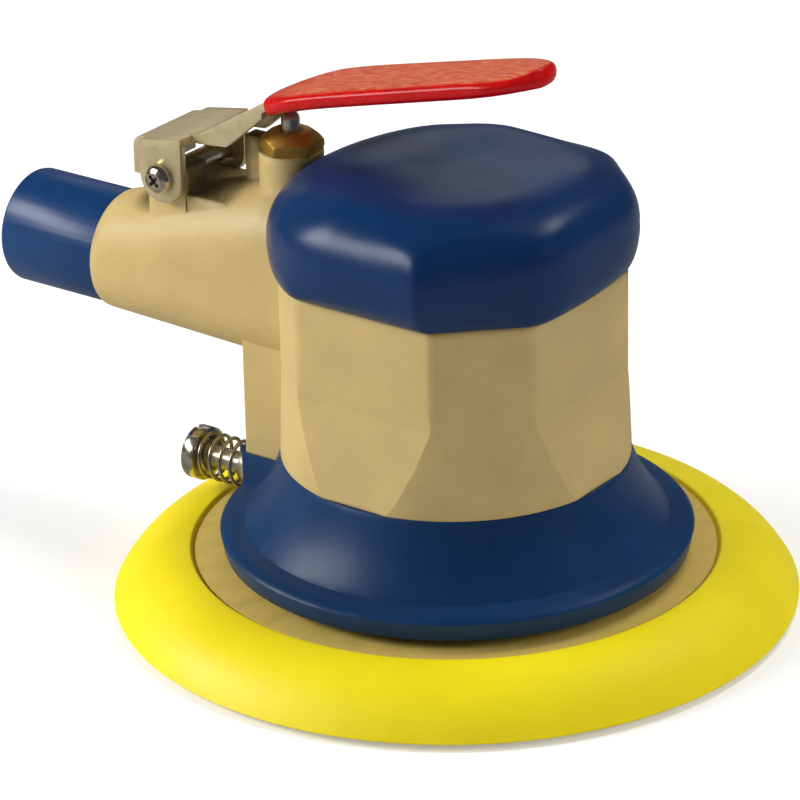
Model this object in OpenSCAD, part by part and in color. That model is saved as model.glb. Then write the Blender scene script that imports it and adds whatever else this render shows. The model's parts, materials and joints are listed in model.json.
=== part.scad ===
// Air-driven orbital sander, built as the separate pieces of the real tool.
// Millimetres. The origin is on the motor axis at the sanding face, +Z is up,
// and the handle with the air inlet and the exhaust points along -X.

/* [Pad] */
// Diameter of the sanding pad
pad_d = 152.4; // [148:0.1:165]
// Thickness of the plain facing that takes the abrasive disc
pad_face_t = 0.8; // [0.5:0.1:2]
// Distance that the facing stays inside the foam's widest edge
pad_face_inset = 3.6; // [2:0.1:6]
// Height of the foam body above the facing
foam_h = 11.9; // [10.5:0.1:14]
// Height of the foam's widest edge over its underside
foam_edge_h = 1; // [0.8:0.1:2]
// Bulge of the foam's sloping top
foam_bulge = 2.8; // [0:0.1:4]
// Radius of the recess that holds the backing plate
recess_r = 58; // [56:0.1:60]
// Thickness of the backing plate
plate_t = 2.6; // [1.5:0.1:4]
// Depth of the plate's top below the foam's rim
plate_sink = 0.5; // [0.2:0.1:1]
// Radius of the steel hub under the spindle
hub_r = 20; // [17.5:0.1:24]
// Thickness of the steel hub
hub_t = 1.5; // [1:0.1:2.5]
// Number of rivets through the hub
rivets = 6; // [4:1:8]
// Radius of a rivet's shank
rivet_r = 1.6; // [1.2:0.1:2]

/* [Orbit] */
// Radius of the orbit, half of the 3/16 inch stroke
orbit = 2.38; // [1.2:0.01:2.6]
// Crank angle at rest, about the motor axis from +X
crank_angle = 135; // [0:1:180]
// Play between pieces that turn past each other
run_gap = 0.5; // [0.4:0.05:0.8]
// Outer radius of the double-width spindle bearing
spindle_brg_r = 14; // [13.5:0.1:15]
// Width of the spindle bearing
spindle_brg_w = 12; // [11:0.1:12.5]
// Radius of the spindle
spindle_r = 6; // [5.5:0.1:6.5]
// Thickness of the spindle's flange
flange_t = 1.8; // [1.2:0.1:2.5]
// Wall of the balancer round the spindle bearing
pocket_wall = 3; // [2:0.1:4]
// Outer radius of the counterweight
weight_r = 30; // [28:0.1:31]
// Angle that the counterweight spans
weight_span = 150; // [120:1:170]
// Outer radius of the notched lock disc
disc_r = 26; // [25:0.1:27]
// Thickness of the lock disc
disc_t = 4; // [3:0.1:5]

/* [Motor] */
// Radius of the motor bore in the housing
bore_r = 27; // [26.5:0.1:28]
// Radius of the cylinder's bore
cyl_r = 21; // [20.5:0.1:21.5]
// Length of the cylinder
cyl_h = 30; // [28:0.1:31]
// Radius of the rotor
rotor_r = 19; // [18:0.1:19.2]
// Running clearance of the rotor at the cylinder's tight side
rotor_gap = 0.15; // [0.08:0.01:0.3]
// Number of vanes
vanes = 5; // [5:1:5]
// Thickness of a vane
vane_t = 1.8; // [1.2:0.1:2.4]
// Radius of the slot's floor
slot_floor_r = 11.5; // [10.5:0.1:13]
// Radius of the motor shaft under the rotor's top
shaft_r = 6; // [5.6:0.1:6.4]
// Radius of the shaft's upper journal
journal_r = 4; // [3.8:0.1:4.5]
// Outer radius of the lower motor bearing
lower_brg_r = 14; // [13.5:0.1:14.5]
// Width of the lower motor bearing
lower_brg_w = 8; // [7:0.1:8.5]
// Outer radius of the upper motor bearing
upper_brg_r = 11; // [10.5:0.1:12]
// Width of the upper motor bearing
upper_brg_w = 7; // [6:0.1:8]
// Thickness of each end plate
end_plate_t = 9; // [8.8:0.1:10]
// Height of the threaded ring that closes the motor bore
lock_ring_h = 6; // [5:0.1:6.5]

/* [Housing] */
// Radius of the barrel at its foot
barrel_r = 38.5; // [38:0.1:39.4]
// How far the foot flares out
foot_flare = 0.7; // [0.3:0.1:1.2]
// Height of the barrel between the shroud and the cap
barrel_h = 43; // [42:0.1:46]
// Depth of each flat in the round of the barrel
flat_in = 4.3; // [3.6:0.1:4.6]
// Depth of each slanting front corner
corner_in = 1.4; // [0.8:0.1:2]
// Height below the cap at which the flats start to lean out
flat_h = 23; // [20:0.1:26]
// Distance from the flats in to the core that carries the cap
core_in = 2.5; // [2:0.1:3]
// Width of the ledge from the foot in to the spigot that carries the shroud
ledge_w = 4.1; // [3.8:0.1:4.4]
// Height of the spigot
spigot_h = 5; // [4:0.1:6]
// Thickness of the housing's roof over the motor
roof_t = 8; // [6:0.1:9]
// Half width of the web between the barrel and the handle
web_w = 12; // [11:0.1:12.5]
// Distance from the valve's axis to the web's rear face
web_out = 6.1; // [5.4:0.1:6.8]

/* [Cap] */
// Height of the rubber cap
cap_h = 23.6; // [23:0.1:26]
// Distance over which the cap's shoulder rounds inwards
cap_shoulder = 16.2; // [12:0.1:20]
// Further length of the shoulder towards the handle
cap_back_slope = 13; // [8:0.1:15]

/* [Shroud] */
// Wall of the shroud
skirt_t = 2.2; // [1.6:0.1:3]
// Radius of the crease between the shroud's slope and its rim
crease_r = 47; // [46:0.1:48]
// Height of that crease above the rim's lower edge
crease_h = 5.9; // [5.5:0.1:6.5]
// Hollow of the shroud's slope
slope_hollow = 1; // [0:0.1:1.5]
// Radius of the shroud's rim
rim_r = 52.4; // [52:0.1:54]
// Height of the rim's lower edge over the backing plate
rim_gap = 2.3; // [1.8:0.1:3]
// Half width of the boss that holds the lock pin
boss_w = 12.5; // [12.2:0.1:14]

/* [Handle] */
// Radius of the handle's end
handle_r = 13.9; // [13.6:0.1:15]
// Height of the air line's axis above the barrel's foot
air_rise = 26.9; // [26:0.1:28]
// Distance from the valve's axis to the handle's end
handle_out = 47.8; // [46.8:0.1:52]
// Radius of the handle's deep section at the barrel
grip_r = 15; // [14.5:0.1:15.5]
// Height of the handle's deep section above the air line's axis
grip_rise = 13; // [11:0.1:14]
// Radius of the exhaust sleeve
sleeve_r = 13.25; // [12.8:0.05:13.4]
// Length of the exhaust sleeve outside the handle
sleeve_l = 27; // [20:0.1:35]
// Depth to which the sleeve plugs into the handle
sleeve_plug = 7; // [5:0.1:8]
// Wall of the exhaust sleeve
sleeve_t = 1.6; // [1.2:0.1:2]
// Radius of the inlet bore, a 1/4 inch pipe thread
inlet_r = 5.65; // [5.5:0.01:6.5]
// Radius of the inlet bushing's body
bushing_r = 8; // [7.6:0.1:8.4]
// Radius of the passage to the valve
passage_r = 4.5; // [4:0.1:5]

/* [Valve] */
// Distance from the barrel's foot to the valve's axis
valve_out = 4.7; // [4.5:0.1:5.5]
// Radius of the valve boss
valve_boss_r = 7.2; // [6.8:0.1:8]
// Height of the valve boss above the air line's axis
valve_boss_h = 34; // [33.5:0.1:35]
// Width across the flats of the brass cap
valve_af = 12.7; // [12:0.1:13.5]
// Height of the brass cap's head
valve_cap_h = 4.4; // [4:0.1:5]
// Radius of the valve chamber
chamber_r = 5.2; // [5:0.1:5.6]
// Radius of the valve stem
stem_r = 2.1; // [1.8:0.1:2.4]

/* [Lever] */
// Distance from the valve's axis to the lever's pivot
pivot_out = 27.3; // [26.8:0.1:28.8]
// Height of the pivot above the air line's axis
pivot_h = 25.2; // [25:0.1:27]
// Width of the lever over its ears
ear_span = 24.6; // [23:0.1:26]
// Radius round the pivot at the ears' lower end
ear_r = 5.75; // [5:0.05:6]
// Thickness of the lever's sheet steel
sheet_t = 1.9; // [1.5:0.1:2.1]
// Height of the lever's fold above the pivot
fold_h = 8; // [7.6:0.1:9]
// Width of the steel neck
neck_w = 16; // [15:0.1:18]
// Width of the grip over its vinyl sleeve, at the elbow
grip_w = 24.2; // [22:0.1:26]
// Width of the grip at its round end
grip_end_w = 21; // [19:0.1:24]
// Length of the plate over the ears
plate_l = 13.5; // [13:0.1:15]
// Slope of that plate
plate_tilt = 9.8; // [8:0.1:12]
// Length of the sloping neck
neck_l = 26.5; // [26:0.1:28]
// Slope of the neck
neck_tilt = 31.3; // [30:0.1:33]
// Length of the grip
grip_l = 66; // [55:0.1:68]
// Slope of the grip
grip_tilt = 13.8; // [12:0.1:16]
// Thickness of the vinyl sleeve's wall
vinyl_t = 1.3; // [1:0.1:1.6]
// Width of the housing's lug, which stands beside the near ear
lug_w = 7.8; // [6:0.1:9]
// Radius of the pivot screw
screw_r = 2.4; // [2:0.1:2.6]

/* [Lock pin] */
// Sideways distance of the lock pin from the motor axis
lock_y = 7.6; // [7:0.1:8.5]
// Radius of the lock pin
lock_r = 2.5; // [2:0.1:2.8]
// Radius of its knob
knob_r = 6.2; // [5.5:0.1:6.6]
// Thickness of its knob
knob_t = 3.1; // [2.5:0.1:4]
// Travel of the lock pin
lock_travel = 6.3; // [5:0.1:7]
// Radius of the spring's wire
wire_r = 0.45; // [0.35:0.05:0.5]
// Outer radius of the lock spring
spring_out = 5; // [4.5:0.1:5.2]
// Turns of the lock spring
lock_turns = 4; // [4:1:6]

/* [Fits] */
// Radial clearance of a pin in its hole
fit = 0.08; // [0.03:0.01:0.1]
// Clearance between faces that slide past each other
slide = 0.2; // [0.15:0.01:0.3]

/* [Hidden] */
$fn = 96;

// Heights, from the sanding face up
foam_z = pad_face_t;
rim_z = foam_z + foam_h;
plate_z = rim_z - plate_sink;
hub_z = plate_z + hub_t;
flange_z = hub_z + flange_t;
crank_z = flange_z + run_gap;
ring_t = 1;
brg_z = crank_z + ring_t;
pocket_z = brg_z + spindle_brg_w;
pocket_roof = 3;
clip_t = 1;
neck_z = pocket_z + pocket_roof;
lock_ring_z = neck_z + run_gap;
lower_plate_z = lock_ring_z + lock_ring_h;
cyl_z = lower_plate_z + end_plate_t;
upper_plate_z = cyl_z + cyl_h;
plate_top_z = upper_plate_z + end_plate_t;
head_room = 2.5;
bore_z = plate_top_z + head_room;
core_z = bore_z + roof_t;
spigot_z = lock_ring_z - 1.5;
seam_z = spigot_z + spigot_h;
cap_z = seam_z + barrel_h;
disc_z = crank_z + 3;
lock_z = disc_z + disc_t / 2;
rim_low = plate_z + rim_gap;
rim_h = 4.7;
rim_edge = 0.8;
air_z = seam_z + air_rise;
upper_brg_z = plate_top_z - upper_brg_w;
key_w = 3;
key_l = 20;
vane_phase = 36;
dowel_r = 1.5;
dowel_seat = 4;
exhaust_fan = 40;

// Places across the tool
barrel_top_r = barrel_r - foot_flare;
flat_r = barrel_top_r - flat_in;
corner_r = barrel_top_r - corner_in;
core_r = flat_r - core_in;
spigot_r = barrel_r - ledge_w;
crank = [orbit * cos(crank_angle), orbit * sin(crank_angle), 0];
cyl_off = cyl_r - rotor_r - rotor_gap;
neck_r = shaft_r + 2;
boss_x = rim_r + 0.1;
notch_r = orbit + spindle_brg_r + pocket_wall + 0.5;
end_gap = slide / 2;

// Places along the handle
valve_x = barrel_r + valve_out;
web_x = valve_x + web_out;
pivot_x = valve_x + pivot_out;
handle_x = valve_x + handle_out;
plug_x = handle_x - sleeve_plug;
sleeve_end = handle_x + sleeve_l;
sleeve_bore = sleeve_r - sleeve_t;
plug_r = sleeve_r - 0.6;
sleeve_edge = 0.3;
mouth_l = 7;
hex_l = 8;
bushing_grip = 13;
bushing_end = sleeve_end - mouth_l;
hex_x = bushing_end - hex_l;
bushing_seat = plug_x - bushing_grip;
bushing_af = 17;
exhaust_r = 2;
exhaust_pcr = 10.6;
valve_top = air_z + valve_boss_h;
seat_z = air_z + 10;
seat_h = 4;
chamber_floor = air_z - passage_r - 0.5;
motor_port_z = upper_plate_z + end_plate_t / 2;

root_x = core_r - 1;
boss_drop = 9.3;
boss_top = seam_z - boss_drop;
lug_r = ear_r - 0.55;
lug_top = 2.4;
lug_play = 0.15;
saddle_drop = 3.7;
rib_w = 4;
rib_x = valve_x + 11.3;
rib_h = 1.6;
bury = 0.3;
nut_h = 3.2;
motor_port_r = 2.4;
cap_belly = 8;
cap_lip = 0.8;
cap_tuck = 0.3;
round_swell = 0.55;
cap_bulge = barrel_r - flat_r - cap_lip;
cap_dish = 0.5;
cap_round = 2.4;
inlet_depth = 16;
disc_h = 2.8;
seal_d = 1.8;
valve_thread = 8;
stem_gap = 0.4;
valve_turn = 36;
foot_h = 2;
flat_run = 4.2;
bush_r = lock_r + 1.8;
bush_inner_x = 44.4;
clip_x = 43;

// The lever, in its own upright plane: X along the handle, Z up
pivot = [-pivot_x, air_z + pivot_h];
fold = pivot + [-ear_r - 0.05, fold_h];
rear_x = fold[0] - 3.7;
knee = fold + plate_l * [cos(plate_tilt), sin(plate_tilt)];
elbow = knee + neck_l * [cos(neck_tilt), sin(neck_tilt)];
tip = elbow + grip_l * [cos(grip_tilt), sin(grip_tilt)];
vinyl_start = 0.35;
vinyl_near = -valve_x + 0.2;
vinyl_slant = 8.7;
flare_x = [elbow[0] - 4.6, elbow[0] + 7.4];
vinyl_from = knee + vinyl_start * (elbow - knee);
// Underside of the vinyl over the valve, and the stem's dome that just clears it
vinyl_drop = (sheet_t + vinyl_t) / cos(neck_tilt);
stem_room = (stem_r + stem_gap) / cos(neck_tilt);
stem_top = knee[1] + (-valve_x - knee[0]) * tan(neck_tilt) - vinyl_drop - stem_room;

// ---- Shared shapes ----

// Round bar or bore along Z between two heights
module bar(r, z0, z1) {
    translate([0, 0, z0]) cylinder(r = r, h = z1 - z0);
}

// Ring about Z between two radii and two heights
module ring(r_in, r_out, z0, z1) {
    rotate_extrude() translate([r_in, z0]) square([r_out - r_in, z1 - z0]);
}

// Round bar along -X from one distance to the next, at a height and a sideways place
module bar_x(r, x0, x1, z, y = 0, fn = $fn) {
    translate([-x1, y, z]) rotate([0, 90, 0]) cylinder(r = r, h = x1 - x0, $fn = fn);
}

// Puts a piece of the pad on the orbiting axis
module on_crank() {
    translate(crank) children();
}

// Extrudes a shape that is drawn in the lever's plane, centred across the tool
module lever_plane(width) {
    rotate([90, 0, 0]) linear_extrude(width, center = true) children();
}

// Points of a round bend between two straight runs, for a bend of radius r at the corner b
function bend(a, b, c, r, steps = 6) =
    let (
        u = (a - b) / norm(a - b),
        v = (c - b) / norm(c - b),
        half = acos(u * v) / 2,
        mid = (u + v) / norm(u + v),
        centre = b + mid * r / sin(half),
        start = b + u * r / tan(half) - centre,
        end = b + v * r / tan(half) - centre,
        turn = 180 - 2 * half,
        side = sign(start[0] * end[1] - start[1] * end[0])
    )
    [for (i = [0:steps]) let (t = side * turn * i / steps)
        centre + [start[0] * cos(t) - start[1] * sin(t), start[0] * sin(t) + start[1] * cos(t)]];

// Helical wire about Z; the end turns close up on each other
module coil(r, wire, h, turns, sides = 8, per_turn = 24) {
    n = turns * per_turn;
    rise = h - 2 * wire;
    function climb(t) = t < 0.12 ? 0.12 * pow(t / 0.12, 2) / 2
        : t > 0.88 ? 0.88 - 0.06 + 0.06 * (1 - pow((1 - t) / 0.12, 2))
        : t - 0.06;
    rings = [for (i = [0:n]) let (t = i / n, a = 360 * turns * t, z = wire + rise * climb(t) / 0.88)
        [for (k = [0:sides - 1]) let (b = 360 * k / sides)
            [(r + wire * cos(b)) * cos(a), (r + wire * cos(b)) * sin(a), z + wire * sin(b)]]];
    polyhedron(
        points = [for (section = rings) each section],
        faces = concat(
            [[for (k = [0:sides - 1]) k]],
            [[for (k = [sides - 1:-1:0]) n * sides + k]],
            [for (i = [0:n - 1]) for (k = [0:sides - 1]) let (m = (k + 1) % sides)
                each [[i * sides + k, (i + 1) * sides + m, i * sides + m],
                      [i * sides + k, (i + 1) * sides + k, (i + 1) * sides + m]]]));
}

// ---- Ball bearings ----

function ball_r(r_in, r_out) = (r_out - r_in) * 0.26;
function pitch_r(r_in, r_out) = (r_out + r_in) / 2;
race_play = 0.12;

module ball_track(r_in, r_out, z, w) {
    rotate_extrude() translate([pitch_r(r_in, r_out), z + w / 2]) circle(r = ball_r(r_in, r_out) + race_play);
}

module inner_ring(r_in, r_out, z, w) {
    difference() {
        ring(r_in, pitch_r(r_in, r_out) - ball_r(r_in, r_out) * 0.5, z, z + w);
        ball_track(r_in, r_out, z, w);
    }
}

module outer_ring(r_in, r_out, z, w) {
    difference() {
        ring(pitch_r(r_in, r_out) + ball_r(r_in, r_out) * 0.5, r_out, z, z + w);
        ball_track(r_in, r_out, z, w);
    }
}

module balls(r_in, r_out, z, w) {
    pitch = pitch_r(r_in, r_out);
    count = floor(PI * pitch / (ball_r(r_in, r_out) * 1.25));
    for (i = [0:count - 1])
        rotate(360 * i / count) translate([pitch, 0, z + w / 2]) sphere(r = ball_r(r_in, r_out), $fn = 32);
}

// ---- Pad ----

// Outline of the foam's sloping top, from the edge up to the rim, bulging outwards
foam_from = [pad_d / 2, foam_z + foam_edge_h];
foam_to = [recess_r + 0.8, rim_z];
function foam_slope(t) =
    let (run = foam_to - foam_from, out = [run[1], -run[0]] / norm(run))
    foam_from + run * t + out * 4 * foam_bulge * t * (1 - t);

module pad_face() {
    color("dimgray") on_crank() bar(pad_d / 2 - pad_face_inset, 0, pad_face_t);
}

module pad_foam() {
    color("yellow") on_crank() rotate_extrude() polygon(concat(
        [[0, foam_z], [pad_d / 2 - pad_face_inset + 0.4, foam_z], [pad_d / 2 - 1, foam_z + foam_edge_h / 2]],
        [for (i = [0:12]) foam_slope(i / 12)],
        [[recess_r, rim_z - 0.3], [recess_r, plate_z - plate_t], [0, plate_z - plate_t]]));
}

module pad_plate() {
    color("tan") on_crank() difference() {
        bar(recess_r, plate_z - plate_t, plate_z);
        bar(spindle_r * 0.7 + fit, 0, rim_z);
        rivet_holes();
    }
}

rivet_pcr = (hub_r + spindle_r + 5) / 2;

module rivet_holes() {
    for (i = [0:rivets - 1])
        rotate(360 * i / rivets) translate([rivet_pcr, 0, 0]) bar(rivet_r + fit, 0, flange_z);
}

module pad_hub() {
    color("silver") on_crank() difference() {
        bar(hub_r, plate_z, hub_z);
        bar(spindle_r * 0.7 + fit, 0, flange_z);
        rivet_holes();
    }
}

module pad_rivets() {
    head = 0.9;
    color("gainsboro") on_crank() for (i = [0:rivets - 1])
        rotate(360 * i / rivets) translate([rivet_pcr, 0, 0]) {
            bar(rivet_r, plate_z - plate_t, hub_z);
            bar(rivet_r * 1.6, hub_z, hub_z + head);
        }
}

// ---- Orbiting spindle and its bearing ----

module spindle() {
    color("silver") on_crank() difference() {
        union() {
            bar(spindle_r * 0.7, plate_z - plate_t, hub_z);
            bar(spindle_r + 3, hub_z, flange_z);
            bar(spindle_r + 1.2, flange_z, brg_z);
            bar(spindle_r, brg_z, pocket_z + clip_t + 0.4);
        }
        ring(spindle_r - 0.7, spindle_r + 1, pocket_z, pocket_z + clip_t);
    }
}

module spindle_clip() {
    color("gainsboro") on_crank() ring(spindle_r - 0.7, spindle_r + 1.3, pocket_z, pocket_z + clip_t);
}

module spindle_bearing_inner() {
    color("lightsteelblue") on_crank() inner_ring(spindle_r, spindle_brg_r, brg_z, spindle_brg_w);
}

module spindle_bearing_outer() {
    color("steelblue") on_crank() outer_ring(spindle_r, spindle_brg_r, brg_z, spindle_brg_w);
}

module spindle_bearing_balls() {
    color("white") on_crank() balls(spindle_r, spindle_brg_r, brg_z, spindle_brg_w);
}

module bearing_ring() {
    color("gray") on_crank() ring(spindle_brg_r - 1.4, spindle_brg_r + 0.6, crank_z, brg_z);
}

// ---- Balancer shaft, rotor and vanes ----

// One quarter of the notches that the lock pin enters; they repeat every quarter turn
module lock_notches(z0, z1) {
    for (turn = [0:90:270])
        rotate(turn) translate([-disc_r - 1, -lock_y - lock_r - 0.6, z0])
            cube([disc_r + 1 - notch_r, 2 * (lock_r + 0.6), z1 - z0]);
}

module balancer_shaft() {
    weight_z = lock_z + lock_r + 0.6;
    key_z = cyl_z + (cyl_h - key_l) / 2;
    color("slategray") difference() {
        union() {
            on_crank() bar(spindle_brg_r + pocket_wall, crank_z, neck_z);
            difference() {
                bar(disc_r, disc_z, disc_z + disc_t);
                lock_notches(disc_z - 1, disc_z + disc_t + 1);
            }
            rotate(crank_angle + 180 - weight_span / 2)
                translate([0, 0, weight_z])
                    rotate_extrude(angle = weight_span) square([weight_r, spigot_z - 0.5 - weight_z]);
            bar(neck_r, neck_z - 0.5, lower_plate_z);
            bar(shaft_r, lower_plate_z - 0.5, upper_brg_z);
            bar(journal_r, upper_brg_z - 0.5, plate_top_z + clip_t + 0.7);
        }
        on_crank() {
            bar(spindle_brg_r, crank_z - 1, pocket_z);
            bar(spindle_r + 2, crank_z - 1, pocket_z + clip_t + 0.8);
            ring(spindle_brg_r - 1, spindle_brg_r + 0.6, crank_z - 1, brg_z);
        }
        ring(journal_r - 0.6, journal_r + 1, plate_top_z + 0.2, plate_top_z + 0.2 + clip_t);
        translate([shaft_r - key_w / 2, -key_w / 2, key_z]) cube([key_w, key_w, key_l]);
    }
}

module rotor_key() {
    color("gold") translate([shaft_r - key_w / 2, -key_w / 2, cyl_z + (cyl_h - key_l) / 2])
        cube([key_w, key_w, key_l]);
}

module rotor() {
    color("darkgray") difference() {
        ring(shaft_r, rotor_r, cyl_z + end_gap, upper_plate_z - end_gap);
        for (i = [0:vanes - 1])
            rotate(360 * i / vanes + vane_phase) translate([slot_floor_r, -vane_t / 2 - fit, cyl_z - 1])
                cube([rotor_r, vane_t + 2 * fit, cyl_h + 2]);
        translate([0, -key_w / 2, cyl_z - 1]) cube([shaft_r + key_w / 2, key_w, cyl_h + 2]);
    }
}

// A vane lies back in its slot, as all of them do when the motor is at rest
module vane(i) {
    color("saddlebrown") rotate(360 * (i - 1) / vanes + vane_phase)
        translate([slot_floor_r + 0.2, -vane_t / 2, cyl_z + end_gap])
            cube([rotor_r - slot_floor_r - 0.4, vane_t, cyl_h - 2 * end_gap]);
}

module vane_1() { vane(1); }
module vane_2() { vane(2); }
module vane_3() { vane(3); }
module vane_4() { vane(4); }
module vane_5() { vane(5); }

module shaft_clip() {
    color("gray") ring(journal_r - 0.6, journal_r + 1.8, plate_top_z + 0.2, plate_top_z + 0.2 + clip_t);
}

// ---- Motor bearings ----

module lower_bearing_inner() {
    color("lightsteelblue") inner_ring(shaft_r, lower_brg_r, lower_plate_z, lower_brg_w);
}

module lower_bearing_outer() {
    color("steelblue") outer_ring(shaft_r, lower_brg_r, lower_plate_z, lower_brg_w);
}

module lower_bearing_balls() {
    color("white") balls(shaft_r, lower_brg_r, lower_plate_z, lower_brg_w);
}

module upper_bearing_inner() {
    color("lightsteelblue") inner_ring(journal_r, upper_brg_r, upper_brg_z, upper_brg_w);
}

module upper_bearing_outer() {
    color("steelblue") outer_ring(journal_r, upper_brg_r, upper_brg_z, upper_brg_w);
}

module upper_bearing_balls() {
    color("white") balls(journal_r, upper_brg_r, upper_brg_z, upper_brg_w);
}

// ---- Motor stator ----

module lock_ring() {
    spanner_r = 1.5;
    color("darkslategray") difference() {
        ring(lower_brg_r - 3, bore_r, lock_ring_z, lower_plate_z);
        for (turn = [45:90:315])
            rotate(turn) translate([(bore_r + lower_brg_r - 3) / 2, 0, 0])
                bar(spanner_r, lock_ring_z - 1, lock_ring_z + lock_ring_h / 2);
    }
}

// Where the dowel lines up both end plates and the cylinder, in the cylinder's thick side
dowel_y = (bore_r + cyl_r - cyl_off) / 2;

module dowel_hole(z0, z1) {
    translate([0, dowel_y, 0]) bar(dowel_r + fit, z0, z1);
}

module lower_end_plate() {
    color("burlywood") difference() {
        bar(bore_r, lower_plate_z, cyl_z);
        bar(lower_brg_r, lower_plate_z - 1, lower_plate_z + lower_brg_w);
        bar(shaft_r + run_gap, lower_plate_z, cyl_z + 1);
        dowel_hole(cyl_z - dowel_seat, cyl_z + 1);
    }
}

module cylinder_liner() {
    port_r = 1.8;
    color("peru") difference() {
        bar(bore_r, cyl_z, upper_plate_z);
        translate([0, -cyl_off, 0]) bar(cyl_r, cyl_z - 1, upper_plate_z + 1);
        dowel_hole(cyl_z - 1, upper_plate_z + 1);
        for (turn = [-exhaust_fan, 0, exhaust_fan])
            bar_x(port_r, cyl_r - 4, bore_r + 1, air_z - exhaust_pcr * cos(turn), exhaust_pcr * sin(turn));
    }
}

module upper_end_plate() {
    feed_r = 2.4;
    color("burlywood") difference() {
        bar(bore_r, upper_plate_z, plate_top_z);
        bar(upper_brg_r, upper_brg_z, plate_top_z + 1);
        bar(shaft_r + run_gap, upper_plate_z - 1, plate_top_z);
        dowel_hole(upper_plate_z - 1, upper_plate_z + dowel_seat);
        bar_x(feed_r, upper_brg_r + 3, bore_r + 1, motor_port_z);
        translate([-upper_brg_r - 4 - feed_r, 0, 0]) bar(feed_r, upper_plate_z - 1, motor_port_z);
    }
}

module dowel() {
    color("silver") translate([0, dowel_y, 0])
        bar(dowel_r, cyl_z - dowel_seat, upper_plate_z + dowel_seat);
}

// ---- Housing ----

// Slope of the shroud from the barrel to the crease, slightly hollow; shift moves it outwards
function slope(shift, start = 0, steps = 12) =
    let (
        foot = [barrel_r, seam_z],
        fall = [crease_r, rim_low + crease_h] - foot,
        out = [-fall[1], fall[0]] / norm(fall)
    )
    [for (i = [0:steps]) let (t = start + (1 - start) * i / steps)
        foot + t * fall + out * (shift - 4 * slope_hollow * t * (1 - t))];

// Everything that lies below the shroud's slope and rim
module shroud_envelope() {
    rotate_extrude() polygon(concat([[0, 0], [0, seam_z]], slope(0), [[rim_r, rim_low + rim_h], [rim_r, 0]]));
}

// A slab beyond one flat of the barrel: upright above, and leaning out below to meet the foot's
// radius at a height over the barrel's lower edge
module flat_cut(turn, distance, end) {
    reach = 2 * barrel_r;
    lean = atan((barrel_r - distance) / (cap_z - flat_h - seam_z - end));
    rotate(turn) {
        translate([distance, -reach, cap_z - flat_h]) cube([reach, 2 * reach, reach]);
        translate([distance, 0, cap_z - flat_h]) rotate([0, -lean, 0])
            translate([0, -reach, -reach]) cube([reach, 2 * reach, reach]);
    }
}

module barrel() {
    difference() {
        rotate_extrude() polygon([[0, seam_z], [barrel_r, seam_z], [barrel_r, seam_z + foot_h],
            [barrel_top_r, cap_z - flat_h], [barrel_top_r, cap_z], [0, cap_z]]);
        for (turn = [-90, 0, 90]) flat_cut(turn, flat_r, -flat_run);
        for (turn = [-45, 45]) flat_cut(turn, corner_r, foot_h);
    }
}

// The handle's outside, from its round end to the deep section at the barrel
module handle_shape(grow = 0) {
    hull() {
        bar_x(handle_r + grow, handle_x - 1, handle_x, air_z, fn = 48);
        bar_x(grip_r + grow, root_x, valve_x + 1, air_z, fn = 48);
        bar_x(grip_r + grow, root_x, valve_x + 1, air_z + grip_rise, fn = 48);
    }
}

module web() {
    difference() {
        translate([-web_x, -web_w, disc_z]) cube([web_x - root_x, 2 * web_w, air_z - disc_z]);
        shroud_envelope();
        translate([-boss_x - 1, -barrel_r, 0]) cube([boss_x, 2 * barrel_r, boss_top]);
    }
}

// The lug carries the pivot screw; the saddle fills the rest of the space between the ears
module lug() {
    near = ear_span / 2 - sheet_t - lug_play;
    translate([pivot[0] - lug_r, -near, air_z]) cube([2 * lug_r, lug_w, pivot_h + lug_top]);
    translate([pivot[0] - lug_r + bury, -near + bury, air_z])
        cube([pivot_x + lug_r - rib_x, 2 * (near - bury), pivot_h - saddle_drop]);
}

// Upright rib behind the valve boss
module rib() {
    translate([-rib_x, -rib_w / 2, air_z]) {
        cube([rib_x - valve_x - valve_boss_r - bury, rib_w, valve_boss_h + rib_h]);
        translate([bury, bury, 0]) cube([rib_x - valve_x, rib_w - 2 * bury, valve_boss_h - 2 * bury]);
    }
}

module housing() {
    color("tan") difference() {
        union() {
            barrel();
            bar(spigot_r, spigot_z, seam_z + 1);
            bar(core_r, cap_z - 1, core_z);
            difference() {
                handle_shape();
                bar(core_r - 1, 0, bore_z);
            }
            web();
            lug();
            rib();
            translate([-valve_x, 0, 0]) bar(valve_boss_r, air_z, valve_top);
        }
        bar(bore_r, 0, bore_z);
        bar_x(plug_r, plug_x, handle_x + 1, air_z);
        bar_x(bushing_r, bushing_seat, handle_x, air_z);
        bar_x(passage_r, valve_x, handle_x, air_z);
        for (turn = [-exhaust_fan, 0, exhaust_fan])
            bar_x(exhaust_r, bore_r - 2, handle_x, air_z - exhaust_pcr * cos(turn), exhaust_pcr * sin(turn));
        bar_x(motor_port_r, bore_r - 2, valve_x, motor_port_z);
        translate([-valve_x, 0, 0]) {
            bar(chamber_r, chamber_floor, valve_top + 1);
        }
        translate([pivot[0], 0, pivot[1]]) rotate([90, 0, 0])
            cylinder(r = screw_r + fit, h = ear_span, center = true);
    }
}

// ---- Rubber cap ----

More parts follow.
